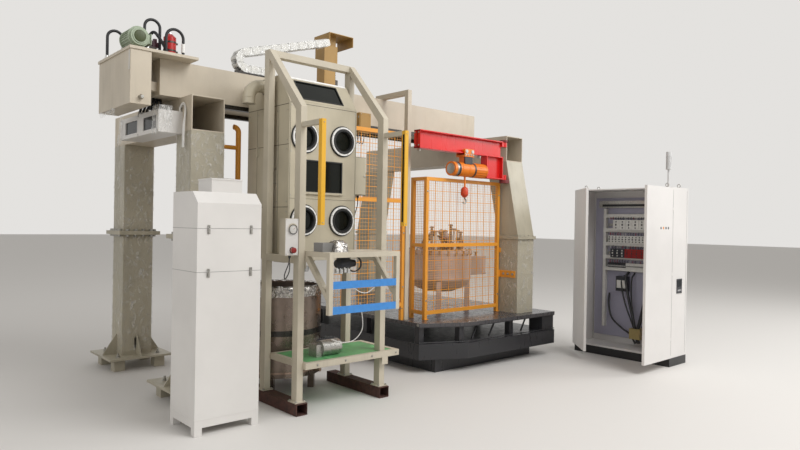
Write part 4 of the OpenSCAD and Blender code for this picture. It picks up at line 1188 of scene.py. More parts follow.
def seal_windows(corner):
    """Frame the windows and fit the bars."""
    bm = bmesh.new()
    low = corner + mm(WINDOW_LOW[0], 0, WINDOW_LOW[1])
    w, h = WINDOW_SIZE
    add_frame(bm, low + mm(-9, -5, -9), (0, 2), (w + 18, h + 18), 12, 8)
    blocks(bm, low, (-16, -18, -26, w + 16, 0, -14, 1), (-16, -18, -14, w + 16, -15, -6, 1))
    studs(bm, low, (FRONT, 0.005, 0.003, 2), *product((30, w / 2, w - 30), (-18,), (-20,)))
    run, rise = SLOPE_RUN
    length = hypot(run, rise)
    before = len(bm.verts)
    add_frame(bm, mm(132, 35, -2), (0, 1), (476, 232), 11, 7)
    blocks(bm, ORIGIN, (60, 8, 0, 690, 18, 3, 1), (20, length - 22, 0, 730, length - 2, 4, 4))
    tilt = Matrix.Rotation(atan2(rise, run), 4, "X")
    place_new(bm, before, Matrix.Translation(corner + mm(0, 0, SLOPE_START)) @ tilt)
    rods(bm, low, (0.01, 3), (w / 2 - 60, 22, h + 40, w / 2 + 60, 22, h + 40))
    roof = corner + mm(0, run, SLOPE_START + rise)
    for y, start, end in ((60, 90, 660), (110, 60, 520)):
        rods(bm, roof, (0.006, 4, 10), (start, y, 6, end, y + 60, 6))
    make_piece("window_seals", bm,
               "neoprene, booth enamel, zinc plate, lamp grey, ring plastic")


def draw_seams(corner, far):
    """Run the seams; fit studs, hinges and handle."""
    bm = bmesh.new()
    width = (far.x - corner.x) * 1000
    for out, wall in ((-1.2, 0), (width, width + 1.2)):
        for z in (1340, 980, 420):
            blocks(bm, corner, (out, 6, z, wall, 734, z + 5))
        for y in (180, 560):
            blocks(bm, corner, (out, y, 12, wall, y + 3, 1335))
    for x in (8, width - 11):
        blocks(bm, corner, (x, -1.2, 10, x + 3, 0, 1360))
    for z, high in ((1352, 1356), (500, 503)):
        blocks(bm, corner, (12, -1.2, z, width - 12, 0, high))
    for x, way in ((-1.5, -1), (width + 1.5, 1)):
        studs(bm, corner, ((way, 0, 0), 0.006, 0.003, 1, 8), *product((x,), (30, 200, 540, 705),
                (60, 380, 470, 940, 1020, 1290)))
    studs(bm, corner, (FRONT, 0.006, 0.003, 1, 8), *product((22, 375, width - 22), (0,),
            (530, 920, 1330)))
    for z in (300, 900):
        hinge = corner + mm(0, 548, z)
        rods(bm, hinge, (0.008, 2, 12), (-9, 0, 0, -9, 0, 90))
        blocks(bm, hinge, (-4, -24, 8, 0, 24, 82, 2))
    handle = corner + mm(0, 215, 640)
    for z in (0, 130):
        rods(bm, handle, (0.006, 1, 10), (0, 0, z, -34, 0, z))
    rods(bm, handle, (0.008, 1, 12), (-34, 0, -8, -34, 0, 138))
    make_piece("booth_seams", bm, "booth seam, zinc plate, booth enamel")


def fit_elbows():
    """Collar the exhaust elbows."""
    low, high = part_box("exhaust_elbows")
    left_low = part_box("booth_left_side")[0]
    right_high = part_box("booth_right_side")[1]
    y = (low.y + high.y) / 2
    z = high.z - 0.0575
    bm = bmesh.new()
    for x, way in ((left_low.x, -1), (right_high.x, 1)):
        wall = Vector((x, y, z))
        hoops(bm, wall, ((way, 0, 0), 0.056, 0.078, 0.006, 0, 36))
        for k in range(6):
            a = k * pi / 3
            bolts(bm, wall, ((way, 0, 0), 0.01, 1, False), (way * 6, 68 * cos(a), 68 * sin(a)))
        seam = wall + mm(way * 60, 0, 0)
        hoops(bm, seam, ((way, 0, 0), 0.0565, 0.0595, 0.004, 0, 36))
        mouth = Vector((x + way * 0.175, y, low.z))
        hoops(bm, mouth, (UP, 0.0565, 0.0595, 0.004, 0, 36), (0, 0, 56))
        hoops(bm, mouth, (UP, 0.0555, 0.0605, 0.008, 0, 36))
    make_piece("elbow_collars", bm, "booth enamel, zinc plate")


def fit_side_box():
    """Cover the side box and hang its cables."""
    low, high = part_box("side_box")
    bm = bmesh.new()
    add_block(bm, low + mm(6, -7, 6), Vector((high.x, low.y, high.z)) + mm(-6, -2, -6), 0)
    # The dark plate behind the cover shows as a dark border round it: a painted shadow in the gap
    add_block(bm, low + mm(2, -2, 2), Vector((high.x, low.y, high.z)) + mm(-2, 0, -2), 1)
    lock = Vector((high.x, low.y, (low.z + high.z) / 2)) + mm(-22, -7, 0)
    studs(bm, lock, (FRONT, 0.011, 0.006, 2, 16))
    for z in (50, 320):
        rods(bm, low, (0.006, 2, 10), (3, -6, z, 3, -6, z + 40))
    for i, x in enumerate((40, 75, 110)):
        gland = low + mm(x, 85, 0)
        glands(bm, gland, (DOWN, 0.013, 3))
        cable(bm, gland, ((0, 0, -22), (0, 0, -90), (-12 - 6 * i, 18, -210), (-18 - 14 * i, 40,
                -380), (-22 - 14 * i, 60, -520)), sizes().cable / 2, 3)
    make_piece("side_box_cover", bm,
               "booth enamel, booth seam, zinc plate, cable black", 0.0008)


class DIECAST_OT_booth_trim(bpy.types.Operator):
    """Fit the booth: port gaskets and sleeves, window seals, seams and side box"""
    bl_idname = "diecast.booth_trim"
    bl_label = "Glove booth"

    def execute(self, context):
        right_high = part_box("booth_right_side")[1]
        corner = spot("booth_left_side", 0, 0, 0)
        fit_ports(corner)
        seal_windows(corner)
        draw_seams(corner, right_high)
        fit_elbows()
        fit_side_box()
        return {"FINISHED"}


def weld_frames(frames):
    """Weld and bolt the station's feet."""
    bm = bmesh.new()
    bead = sizes().bead
    for low, _ in frames:
        for y in (0, 530):
            leg = low + mm(0, y, 0)
            add_frame(bm, leg + mm(-22, -20, 0), (0, 1), (104, 120), 20, 9)
            bolts(bm, leg, (UP, 0.014, 1), *product((-11, 71), (-8, 88), (9,)))
            ring = [leg + mm(x, step, 9) for x, step in ((0, 0), (60, 0), (60, 80), (0, 80))]
            for a, b in zip(ring, ring[1:] + ring[:1]):
                add_rod(bm, a, b, bead, 0, 6)
    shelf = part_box("shelf_frame")[0]
    for x in (5, 765):
        post = shelf + mm(x, 0, 0)
        blocks(bm, post, (-1, -1, -3, 41, 41, 0, 2))
        for z in (465, 75):
            rods(bm, post, (bead * 0.7, 0, 6), (0, 40, z, 40, 40, z))
    left = frames[0][0]
    light = Vector((left.x, left.y, 1.3)) + mm(64, -8, 0)
    blocks(bm, light, (0, 0, 0, 10, 60, 8), (0, 4, -70, 8, 44, 0))
    glands(bm, light, (DOWN, 0.024, 3, 20), (24, 24, -50))
    make_piece("station_feet", bm,
               "station enamel, zinc plate, switchgear grey, lamp grey", 0.0008)


def edge_mat():
    """Edge the matted step."""
    low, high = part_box("matted_step")
    bm = bmesh.new()
    span = (high - low) * 1000
    blocks(bm, low, (0, -3, -2, span.x, 0, span.z + 2),
           (span.x, -3, -2, span.x + 3, span.y, span.z + 2),
           (-3, -3, -2, 0, span.y, span.z + 2), (0, 0, span.z, span.x, 38, span.z + 3),
           (span.x - 50, 38, span.z, span.x, span.y, span.z + 3),
           (0, span.y - 30, span.z, span.x - 50, span.y, span.z + 3),
           (0, 38, span.z, 34, span.y - 30, span.z + 3))
    bolts(bm, low, (FRONT, 0.012, 1), *product((120, 420, 720, 1010), (-3,), (26,)))
    leg = Vector((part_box("right_station_frame")[0].x, low.y, low.z))
    blocks(bm, leg, (-6, -3, -70, 66, 0, -2))
    make_piece("mat_edging", bm, "station enamel, zinc plate")


def fit_buttons():
    """Fit the button box's face and cable."""
    low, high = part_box("button_box")
    front = Vector((low.x, low.y + 0.03, low.z))
    bm = bmesh.new()
    blocks(bm, front, (3, -3, 3, 127, 0, 307))
    stop = front + mm(70, -3, 45)
    studs(bm, stop, (FRONT, 0.028, 0.004, 2, 24))
    add_lathe(bm, stop, FRONT, [(0, 0), (0, 0.022), (0.008, 0.022), (0.008, 0.014), (0.02, 0.014),
                                (0.021, 0.024), (0.03, 0.0235), (0.036, 0.016), (0.038, 0)], 1, 24)
    dial = front + mm(70, -12, 218)
    hoops(bm, dial, (FRONT, 0.036, 0.041, 0.003, 2, 32))
    studs(bm, dial, (FRONT, 0.034, 0.002, 3, 32))
    for k in range(11):
        a = radians(-120 + 24 * k)
        at = dial + mm(29 * sin(a), -2, 29 * cos(a))
        blocks(bm, at, (-1, -0.6, -2, 1, 0, 2, 2))
    rods(bm, dial, (0.0012, 1, 6), (0, -3, 0, 17, -3, 17))
    studs(bm, front, (FRONT, 0.004, 0.002, 4, 8), *product((10, 120), (-3,), (12, 298)))
    gland = Vector((low.x + 0.065, (low.y + high.y) / 2, low.z))
    glands(bm, gland, (DOWN, 0.012, 2))
    cable(bm, gland, ((0, 0, -18), (-4, 6, -70), (-20, 40, -160), (10, 80, -205), (60, 100, -150),
                      (68, 100, -70)), sizes().cable / 2, 5)
    make_piece("button_box_front", bm,
               "housing powder coat, lamp red, switchgear grey, switchgear white, zinc plate, "
               "cable black", 0.0006)


def fit_lenses():
    """Fit the light curtains' lenses."""
    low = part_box("light_curtains")[0]
    bm = bmesh.new()
    for node, face, way in (("left_station_frame", 40, 1), ("right_station_frame", 0, -1)):
        bar = Vector((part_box(node)[0].x, low.y, low.z)) + mm(10, 0, 0)
        lens = bar + mm(face, 0, 0)
        blocks(bm, lens, (min(0, way * 1.5), 12, 34, max(0, way * 1.5), 33, 826))
        bolts(bm, bar, (FRONT, 0.008, 1, False), *product((20,), (0,), (20, 832)))
        bolts(bm, bar, (UP, 0.012, 1), *product((20,), (66, 271), (860.6,)))
        blocks(bm, bar, (-0.6, 44.8, 819.4, 40.6, 295, 860.6, 2))
    make_piece("curtain_lenses", bm, "dark glass, zinc plate, station enamel",
               0.0006)


def put_on_shelf():
    """Put the remote, motor and cables on the shelf."""
    top = spot("shelf_frame", 0, 0, 1)
    bm = bmesh.new()
    blocks(bm, top, (20, 120, 0, 150, 250, 74, 1))
    lump = top + mm(110, 60, 0)
    size = (140, 130, 92)
    cells = 9
    rows = []
    for i in range(cells + 1):
        row = []
        for k in range(cells + 1):
            u, v = i / cells, k / cells
            edge = min(u, 1 - u, v, 1 - v)
            fold = 14 * noise.noise(Vector((u * 7, v * 7, 2.2))) * (edge > 0)
            row.append(lump + mm(size[0] * u, size[1] * v,
                                 max(0.4, size[2] * min(1, edge * 5.5) ** 0.5 + fold)))
        rows.append(row)
    add_skin(bm, rows, 0)
    make_piece("wrapped_remote", bm, "crumpled foil, cabinet grey")
    bm = bmesh.new()
    body = top + mm(250, 250, -110)
    add_lathe(bm, body, RIGHT, [(0, 0), (0, 0.03), (0.03, 0.05), (0.13, 0.05), (0.16, 0.034),
                                (0.2, 0.03), (0.2, 0)], 0, 28)
    blocks(bm, body, (20, -30, 44, 140, 30, 110))
    hoops(bm, body, ((0.8, 0.6, 0), 0.062, 0.072, 0.03, 0, 32), (190, 0, -6))
    for x, z in ((90, -170), (130, -176), (170, -168), (205, -174)):
        clamp = top + mm(x, 20, z)
        blocks(bm, clamp, (0, 0, 0, 26, 30, 34, 1))
        bolts(bm, clamp, (UP, 0.012, 1), (13, 15, 34))
    make_piece("shelf_motor", bm, "switchgear grey, chrome", 0.001)
    bm = bmesh.new()
    cable(bm, top, ((255, 20, -255), (300, 10, -320), (400, 6, -345), (500, 12, -290),
                    (540, 20, -240)), 0.0032, 0)
    drop = top + mm(560, 300, -470)
    cable(bm, drop, ((0, 0, 0), (22, -10, -120), (6, -30, -240), (-90, -40, -320),
                     (-210, -30, -330), (-300, 10, -300)), 0.004, 0)
    make_piece("shelf_cables", bm, "cable white")


def wrap_step_motor():
    """Rib the step motor and wrap it in film."""
    low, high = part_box("step_motor")
    middle = (low.y + high.y) / 2
    bm = bmesh.new()
    axis = Vector((low.x + 0.06, middle + 0.02, low.z + 0.07))

    def rib(bm):
        blocks(bm, axis, (40, -1.5, 64, 180, 1.5, 74))

    add_round(bm, axis, RIGHT, 22, rib)
    around = 26
    rows = []
    for i in range(17):
        row = []
        for k in range(around):
            a = 2 * pi * k / around
            ripple = 1 + 0.22 * noise.noise(Vector((i * 0.6, k * 0.7, 5.5)))
            row.append((low.x + 0.004 + 0.252 * i / 16, middle + cos(a) * 0.102 * ripple,
                        low.z + 0.068 + max(-0.066, sin(a) * 0.086 * ripple)))
        rows.append(row)
    skin = add_skin(bm, rows, 1, True)
    for ring in (skin[0][::-1], skin[-1]):
        bm.faces.new(ring).material_index = 1
    make_piece("step_motor_film", bm, "switchgear grey, clear film")


class DIECAST_OT_station_trim(bpy.types.Operator):
    """Fit out the operator's frame: foot plates, mat edges, buttons, lenses and shelf items"""
    bl_idname = "diecast.station_trim"
    bl_label = "Operator station"

    def execute(self, context):
        frames = [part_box("left_station_frame"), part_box("right_station_frame")]
        weld_frames(frames)
        edge_mat()
        fit_buttons()
        fit_lenses()
        put_on_shelf()
        wrap_step_motor()
        return {"FINISHED"}


def build_dip_tank_trim():
    low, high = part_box("dip_tank")
    middle = (low + high) / 2
    radius = (high.x - low.x) / 2
    axis = Vector((middle.x, middle.y, 0))
    bm = bmesh.new()
    for z, size, slot in ((550, 52, 0), (940, 16, 1), (200, 16, 1)):
        hoops(bm, axis, (UP, radius - 0.001, radius + 0.004, size / 1000, slot, 72), (0, 0, z))
    hoops(bm, axis, (UP, radius - 0.014, radius + 0.01, 0.012, 1, 72), (0, 0, 990))
    for k in range(3):
        a = radians(60 + 120 * k)
        out = Vector((cos(a), sin(a), 0))
        lug = axis + out * radius + mm(0, 0, 740)
        add_rod(bm, lug, lug + out * 0.03, 0.012, 1, 12)
    out = Vector((0.35, -0.936, 0)).normalized()
    drain = axis + out * radius + mm(0, 0, 215)
    stem = drain + out * 0.05
    add_rod(bm, drain - out * 0.02, drain + out * 0.09, 0.018, 1, 16)
    rods(bm, stem, (0.007, 1, 10), (0, 0, 0, 0, 0, 50))
    rods(bm, stem, (0.006, 2, 10), (-45, 0, 50, 20, 0, 50))
    rows = []
    for i in range(7):
        row = []
        for k in range(96):
            a = 2 * pi * k / 96
            fold = noise.noise(Vector((cos(a) * 9, sin(a) * 9, i * 0.9)))
            reach = radius + (-0.03, -0.012, 0.004, 0.014, 0.014, 0.01, 0.008)[i] + fold * 0.012
            z = (1.004, 1.014, 1.014, 1.004, 0.975, 0.945, 0.915)[i] + fold * 0.01
            row.append((axis.x + cos(a) * reach, axis.y + sin(a) * reach, z))
        rows.append(row)
    add_skin(bm, rows, 3, True)
    inner = radius - 0.013
    add_lathe(bm, axis + mm(0, 0, 700), UP, [(0, 0), (0, inner), (0.004, inner), (0.004, 0)], 4, 64)
    make_piece("dip_tank_bands", bm,
               "rolled steel, vessel stainless, lamp red, crumpled foil, dark glass")
    rail_low, rail_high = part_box("guard_rail")
    bm = bmesh.new()
    post = Vector((rail_high.x - 0.06, rail_high.y - 0.06, 0))
    bolts(bm, post, (UP, 0.016, 0, False), *product((-42, 42), (-42, 42), (12,)))
    hoops(bm, post, (UP, 0.024, 0.031, 0.006, 1, 24), (0, 0, 12))
    hoops(bm, Vector((rail_low.x, post.y, 2.32)), (RIGHT, 0.02, 0.045, 0.008, 1, 24))
    make_piece("guard_rail_bolts", bm, "zinc plate, fence powder coat")


class DIECAST_OT_dip_tank_trim(bpy.types.Operator):
    """Band the dip tank, roll its rim and fit its valve"""
    bl_idname = "diecast.dip_tank_trim"
    bl_label = "Dip tank"

    def execute(self, context):
        build_dip_tank_trim()
        return {"FINISHED"}


# Fence panels, in millimetres: square tube, and the main wires' aimed spacing
FENCE_TUBE = 40
MAIN_PITCH = 112
WIRE = 3.2
FINE_WIRE = 2.2


def add_fine_wires(bm, low, length, height, parts):
    """Fill the spaces between a panel's main wires with finer ones."""
    in_l, in_h = length - 2 * FENCE_TUBE, height - 2 * FENCE_TUBE
    nx, nz = int(in_l // MAIN_PITCH), int(in_h // MAIN_PITCH)
    half = FINE_WIRE / 2
    middle = FENCE_TUBE / 2
    for i in range(nx * parts):
        if i % parts:
            x = FENCE_TUBE + i * in_l / nx / parts
            blocks(bm, low, (x - half, middle - half, FENCE_TUBE, x + half, middle + half,
                             FENCE_TUBE + in_h))
    for i in range(nz * parts):
        if i % parts:
            z = FENCE_TUBE + i * in_h / nz / parts
            blocks(bm, low, (FENCE_TUBE, middle, z - half, FENCE_TUBE + in_l, middle + FINE_WIRE,
                             z + half))


def build_fence_mesh():
    low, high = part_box("front_fence")
    back_low, back_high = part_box("fence_return")
    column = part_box("right_front_column")[0]
    face_y = low.y + 0.01
    length = (column.x - low.x) * 1000 - 6
    bm = bmesh.new()
    add_fine_wires(bm, Vector((low.x, face_y, 0.6)), length, (high.z - 0.6) * 1000, 4)
    make_piece("front_fence_mesh", bm, "fence wire")
    tall_low, tall_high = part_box("tall_fence")
    bm = bmesh.new()
    add_fine_wires(bm, Vector((tall_low.x, tall_low.y, 0.7)), (tall_high.x - tall_low.x) * 1000,
                   (tall_high.z - 0.7) * 1000, 3)
    make_piece("tall_fence_mesh", bm, "fence wire")
    bm = bmesh.new()
    foot = Vector((back_low.x, back_low.y, 0.64))
    gap = (back_high.y - back_low.y) * 1000 - FENCE_TUBE
    tall = (back_high.z - 0.64) * 1000
    for k in range(1, 7):
        blocks(bm, foot, (18.5, gap * k / 7, 0, 21.5, gap * k / 7 + WIRE, tall - 40))
    for z in range(28, int(tall - 50), 28):
        blocks(bm, foot, (21.5, 0, z, 24.5, gap, z + WIRE))
    make_piece("fence_return_mesh", bm, "fence wire")
    bm = bmesh.new()
    plate = Vector((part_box("right_cross_beam")[0].x, face_y, 0.975))
    end = (low.x - plate.x) * 1000 + length
    blocks(bm, plate, (-8, -240, 0, 0, 1, 85), (end, 0, 0, 0, 40, 85))
    bolts(bm, plate, (LEFT, 0.02, 1), *product((-8,), (-200, -130, -60), (43,)))
    for x in (20, length - 20):
        for z in (760, 1990):
            bolts(bm, Vector((low.x, face_y, z / 1000)), (FRONT, 0.014, 1), (x, 0, 0))
    for x in (0, length - 40):
        foot = Vector((low.x, face_y, DECK_TOP / 1000)) + mm(x, 0, 0)
        blocks(bm, foot, (-8, -14, 0, 48, 0, 8))
    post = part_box("tall_post")[0]
    for z in (900, 1500, 2100, 2560):
        at = Vector((post.x, post.y, z / 1000))
        blocks(bm, at, (-34, 12, 0, 0, 15, 30))
        bolts(bm, at, (FRONT, 0.012, 1), (-20, 12, 15))
    make_piece("fence_brackets", bm, "fence powder coat, zinc plate", 0.0008)


class DIECAST_OT_fence_mesh(bpy.types.Operator):
    """Weave the fine wires of the fences and bolt the panels on"""
    bl_idname = "diecast.fence_mesh"
    bl_label = "Fences"

    def execute(self, context):
        build_fence_mesh()
        return {"FINISHED"}


def build_platform_trim():
    low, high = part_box("platform_deck")
    origin = Vector((low.x, low.y, high.z))
    length, depth = (high.x - low.x) * 1000, (high.y - low.y) * 1000
    bm = bmesh.new()
    for x in (720, 1420):
        blocks(bm, origin, (x, 40, 0, x + 4, depth - 10, 0.8))
    for y in (1180, 2350):
        blocks(bm, origin, (12, y, 0, length - 12, y + 4, 0.8))
    studs(bm, origin, (UP, 0.009, 0.002, 1, 10), *product((560, 700, 740, 1400, 1440, 2050),
            (70, 600, 1160, 1205, 1750, 2330, 2375, 2900, 3480), (0,)))
    for y in (300, 1000, 1800, 2600, 3300):
        side = Vector((high.x, low.y, high.z)) + mm(0, y, -20)
        bolts(bm, side, (RIGHT, 0.018, 1))
        bolts(bm, Vector((low.x, low.y, high.z)), (LEFT, 0.018, 1), (0, y, -20))
    make_piece("deck_seams", bm, "neoprene, zinc plate")
    bm = bmesh.new()
    base = Vector((low.x, low.y, 0.33))
    edge = [(2, 285), (522, 36), (length - 2, 6)]
    for a, b in zip(edge, edge[1:]):
        start, end = base + mm(a[0], a[1], 6), base + mm(b[0], b[1], 6)
        add_rod(bm, start, end, 0.007, 0, 4)
        add_rod(bm, start + mm(0, 0, 165), end + mm(0, 0, 165), 0.006, 0, 4)
    for x in (700, 1000, 1600):
        strut = base + mm(x, 150, 0)
        rods(bm, strut, (0.012, 0, 6), (0, 0, 0, 130, 20, 170))
    for x, y in ((560, 60), (1100, 40), (1500, 30)):
        hoops(bm, base, (FRONT, 0.016, 0.026, 0.006, 1, 20), (x, y, -60))
    make_piece("platform_edges", bm, "platform enamel, zinc plate")


class DIECAST_OT_platform_trim(bpy.types.Operator):
    """Lay the deck plates' seams and screws and the platform's edge rails"""
    bl_idname = "diecast.platform_trim"
    bl_label = "Platform"

    def execute(self, context):
        build_platform_trim()
        return {"FINISHED"}


def build_furnace_trim():
    low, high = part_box("furnace_piping")
    axis = Vector(((low.x + high.x) / 2, (low.y + high.y) / 2, low.z))
    radius = (high.x - low.x) / 2
    bm = bmesh.new()

    def clamp(bm):
        at = axis + mm(radius * 1000 - 24, 0, 20)
        bolts(bm, at, (UP, 0.024, 0))
        blocks(bm, at, (4, -16, -60, 26, 16, -2, 1))

    add_round(bm, axis, UP, 24, clamp)
    for z, size in ((-90, 26), (-250, 26), (-330, 12)):
        hoops(bm, axis, (UP, radius - 0.017, radius - 0.009, size / 1000, 2, 72), (0, 0, z))
    hoops(bm, axis, (UP, 0.12, 0.19, 0.03, 1, 48), (0, 0, 20))
    for k in range(12):
        a = k * pi / 6
        bolts(bm, axis, (UP, 0.018, 0, False), (172 * cos(a), 172 * sin(a), 50))
    make_piece("furnace_clamps", bm, "zinc plate, vessel stainless, furnace steel",
               0.0008)
    bm = bmesh.new()
    for k in range(3):
        a = radians(30 + 120 * k)
        out = Vector((cos(a), sin(a), 0))
        root = axis + out * 0.25 + mm(0, 0, 20)
        lean = Vector(UP) * cos(radians(35)) - out * sin(radians(35))
        for reach in (0.05, 0.16, 0.27):
            hoops(bm, root + lean * reach, (lean, 0.029, 0.044, 0.012, 0, 24))
    for x, y, h in ((-150, -210, 150), (190, -180, 120), (230, 120, 190)):
        stem = axis + mm(x, y, 20)
        wheel = stem + mm(0, 0, h)
        add_rod(bm, stem, wheel, 0.011, 1, 12)
        hoops(bm, wheel, (UP, 0.046, 0.056, 0.01, 2, 28))
        for turn in range(4):
            b = turn * pi / 2
            rods(bm, wheel, (0.004, 2, 8), (0, 0, 5, 48 * cos(b), 48 * sin(b), 5))
        glands(bm, stem, (UP, 0.032, 1, 16), (0, 0, 20))
    for x, y, h, slot in ((-260, -120, 300, 0), (-215, -150, 250, 4), (-90, -285, 330, 0),
                          (-40, -300, 280, 4), (110, -270, 240, 0), (280, -60, 260, 4)):
        pipe = axis + mm(x, y, 20)
        rods(bm, pipe, (0.018, slot, 14), (0, 0, 0, 0, 0, h))
        hoops(bm, pipe, (UP, 0.018, 0.03, 0.012, 0, 18), (0, 0, h - 16))
        hoops(bm, pipe, (UP, 0.018, 0.034, 0.01, 0, 18))
    cable(bm, axis, ((-60, -300, 20), (-60, -300, 90), (-20, -290, 150), (80, -250, 170),
                     (190, -210, 150), (240, -180, 80), (250, -170, 20)), 0.016, 0)
    cable(bm, axis, ((-230, 60, 20), (-240, 60, 120), (-180, 20, 200), (-60, -60, 190),
                     (10, -120, 110), (20, -150, 20)), 0.012, 3)
    make_piece("furnace_valves", bm,
               "vessel stainless, cast iron, lamp red, hose rubber, ring plastic")
    bm = bmesh.new()
    spout = Vector((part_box("furnace_pot")[1].x, axis.y, 0))
    for z in (960, 1180):
        blocks(bm, spout, (-60, -154, z, 3, 154, z + 8))
    bolts(bm, spout, (RIGHT, 0.016, 1), *product((0,), (-120, 0, 120), (985, 1165)))
    for y in (-60, 60):
        rods(bm, spout, (0.018, 0, 14), (-100, y, 1196, -100, y, 1250))
        hoops(bm, spout, (UP, 0.018, 0.034, 0.01, 0, 20), (-100, y, 1244))
    make_piece("furnace_feed_box", bm, "vessel stainless, zinc plate", 0.0008)


class DIECAST_OT_furnace_trim(bpy.types.Operator):
    """Fit the furnace: flange bolts, lagging bands, handwheels and pipe flanges"""
    bl_idname = "diecast.furnace_trim"
    bl_label = "Furnace"

    def execute(self, context):
        build_furnace_trim()
        return {"FINISHED"}


def dress_boom():
    """Close and bolt the boom's end."""
    low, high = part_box("jib_boom")
    foot = Vector((low.x, low.y, high.z - 0.2))
    bm = bmesh.new()
    add_block(bm, foot + mm(0, 1, 1), Vector((low.x, high.y, high.z)) + mm(3, -1, -1), 0)
    bolts(bm, foot, (LEFT, 0.016, 1, False), *product((0,), (20, (high.y - low.y) * 1000 - 20),
                                                      (30, 170)))
    for x in (20, 1010):
        blocks(bm, foot, (x, 30, -30, x + 14, 70, 0, 1))
    make_piece("boom_end_plate", bm, "jib enamel, zinc plate", 0.0008, body="jib")


def dress_hoist():
    """Fit ribs, chain, block and hook to the hoist."""
    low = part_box("hoist")[0]
    boom_low, boom_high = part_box("jib_boom")
    centre = Vector((low.x, (boom_low.y + boom_high.y) / 2, boom_high.z - 0.385))
    bm = bmesh.new()
    radius = 0.0825

    def rib(bm):
        blocks(bm, centre, (362, -2, 78, 545, 2, 87))

    add_round(bm, centre, RIGHT, 20, rib)
    add_lathe(bm, centre + mm(-1, 0, 0), RIGHT, [(0, 0), (0, 0.06), (0.012, 0.078),
                                                 (0.062, radius + 0.003), (0.066, radius + 0.003),
                                                 (0.066, 0)], 1, 40)
    for x, wide, slot in ((66, 30, 2), (130, 8, 0), (240, 8, 0), (330, 26, 2), (548, 10, 0)):
        hoops(bm, centre, (RIGHT, radius - 0.004, radius + 0.003, wide / 1000, slot, 40), (x, 0, 0))
    studs(bm, centre, (RIGHT, radius - 0.006, 0.01, 2, 32), (556, 0, 0))
    for x in (175, 215, 265, 305):
        for way in (-1, 1):
            bolts(bm, centre, ((0, way, 0), 0.014, 3), (x, way * 69, 168))
    for x in (190, 290):
        for way in (-1, 1):
            studs(bm, centre, ((0, way, 0), 0.022, 0.012, 4, 20), (x, way * 69, 205))
    blocks(bm, centre, (176, -62, 62, 304, -42, 150, 2))
    hook = Vector((centre.x + 0.24, centre.y, low.z))
    z, turn = centre.z - radius, 0
    while z > hook.z + 0.1:
        before = len(bm.verts)
        link = [Vector((cos(a) * 0.0085, 0,
                        sin(a) * 0.014)) for a in (pi * k / 6 for k in range(13))]
        add_sweep(bm, link, 0.0028, 3, 6)
        spin = Matrix.Rotation(radians(90 * turn), 4, "Z")
        place_new(bm, before, Matrix.Translation(Vector((hook.x, hook.y, z))) @ spin)
        z -= 0.019
        turn = 1 - turn
    block = hook + mm(0, 0, 112)
    add_lathe(bm, block, DOWN, [(0, 0), (0, 0.018), (0.016, 0.036), (0.034, 0.044), (0.09, 0.044),
                                (0.112, 0.03), (0.124, 0.014), (0.124, 0)], 5, 28)
    curve = [block + mm(0, 0, -120), block + mm(0, 0, -136)]
    for k in range(11):
        a = radians(90 - 24 * k)
        curve.append(block + mm(26 * cos(a), 0, -164 + 28 * sin(a)))
    add_cable(bm, curve, 0.009, 3, 3)
    make_piece("hoist_trim", bm,
               "hoist enamel, zinc plate, switchgear grey, zinc plate, lamp grey, hook red",
               0.0006, body="hoist")


class DIECAST_OT_jib_trim(bpy.types.Operator):
    """Dress the jib and the hoist: stiffeners, end plate, ribs, hook and chain"""
    bl_idname = "diecast.jib_trim"
    bl_label = "Jib and hoist"

    def execute(self, context):
        dress_boom()
        dress_hoist()
        low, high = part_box("jib_bearings")
        hinge = Vector((low.x + 0.05, (low.y + high.y) / 2, high.z))
        bm = bmesh.new()
        bolts(bm, hinge, (UP, 0.014, 0), *product((26, 50), (40,), (0,)))
        make_piece("bearing_bolts", bm, "zinc plate")
        return {"FINISHED"}


def build_filter_trim():
    corner, body_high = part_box("filter_body")
    width, depth = (body_high.x - corner.x) * 1000, (body_high.y - corner.y) * 1000
    bm = bmesh.new()
    for z in (1230, 1560):
        at = corner + mm(0, 0, z)
        add_frame(bm, at + mm(-0.8, -0.8, 0), (0, 1), (width + 1.6, depth + 1.6), 2, 3)
        for x in (90, width - 90):
            add_latch(bm, at + mm(x, 0, 2), FRONT)
        for y in (90, depth - 90):
            add_latch(bm, at + mm(width, y, 2), RIGHT)
    add_frame(bm, corner + mm(-2, -2, 118), (0, 1), (width + 4, depth + 4), 4, 5, 3)
    for k in range(9):
        slot_at = corner + mm(width, 0, 420 + k * 28)
        blocks(bm, slot_at, (0, 110, 0, 2, depth - 110, 9, 3), (0, 112, -3, 0.8, depth - 112, 0))
    collar = spot("filter_head", 0, 0, 1) + mm(310, 270, 0)
    hoops(bm, collar, (UP, 0.1, 0.112, 0.006, 1, 48), (0, 0, -1))
    add_frame(bm, collar + mm(-134, -124, -12), (0, 1), (268, 248), 4, 12, 3)
    make_piece("filter_latches", bm,
               "cabinet grey, zinc plate, switchgear grey, housing powder coat", 0.0006)


def add_latch(bm, at, way):
    """Add a toggle latch that faces one way."""
    before = len(bm.verts)
    blocks(bm, ORIGIN, (-11, -5, -42, 11, 0, -8, 1), (-8, -12, -34, 8, -5, 4, 1), (-10, -6, 8, 10,
            0, 26, 1))
    rods(bm, ORIGIN, (0.003, 1, 8), (-11, -9, 2, 11, -9, 2))
    for x in (-7, 7):
        rods(bm, ORIGIN, (0.002, 1, 8), (x, -9, 2, x, -8, 18))
    angle = atan2(way[0], -way[1])
    place_new(bm, before, Matrix.Translation(at) @ Matrix.Rotation(angle, 4, "Z"))


class DIECAST_OT_filter_trim(bpy.types.Operator):
    """Fit the filter cabinet: seams, toggle latches, vents and outlet collar"""
    bl_idname = "diecast.filter_trim"
    bl_label = "Filter cabinet"

    def execute(self, context):
        build_filter_trim()
        return {"FINISHED"}


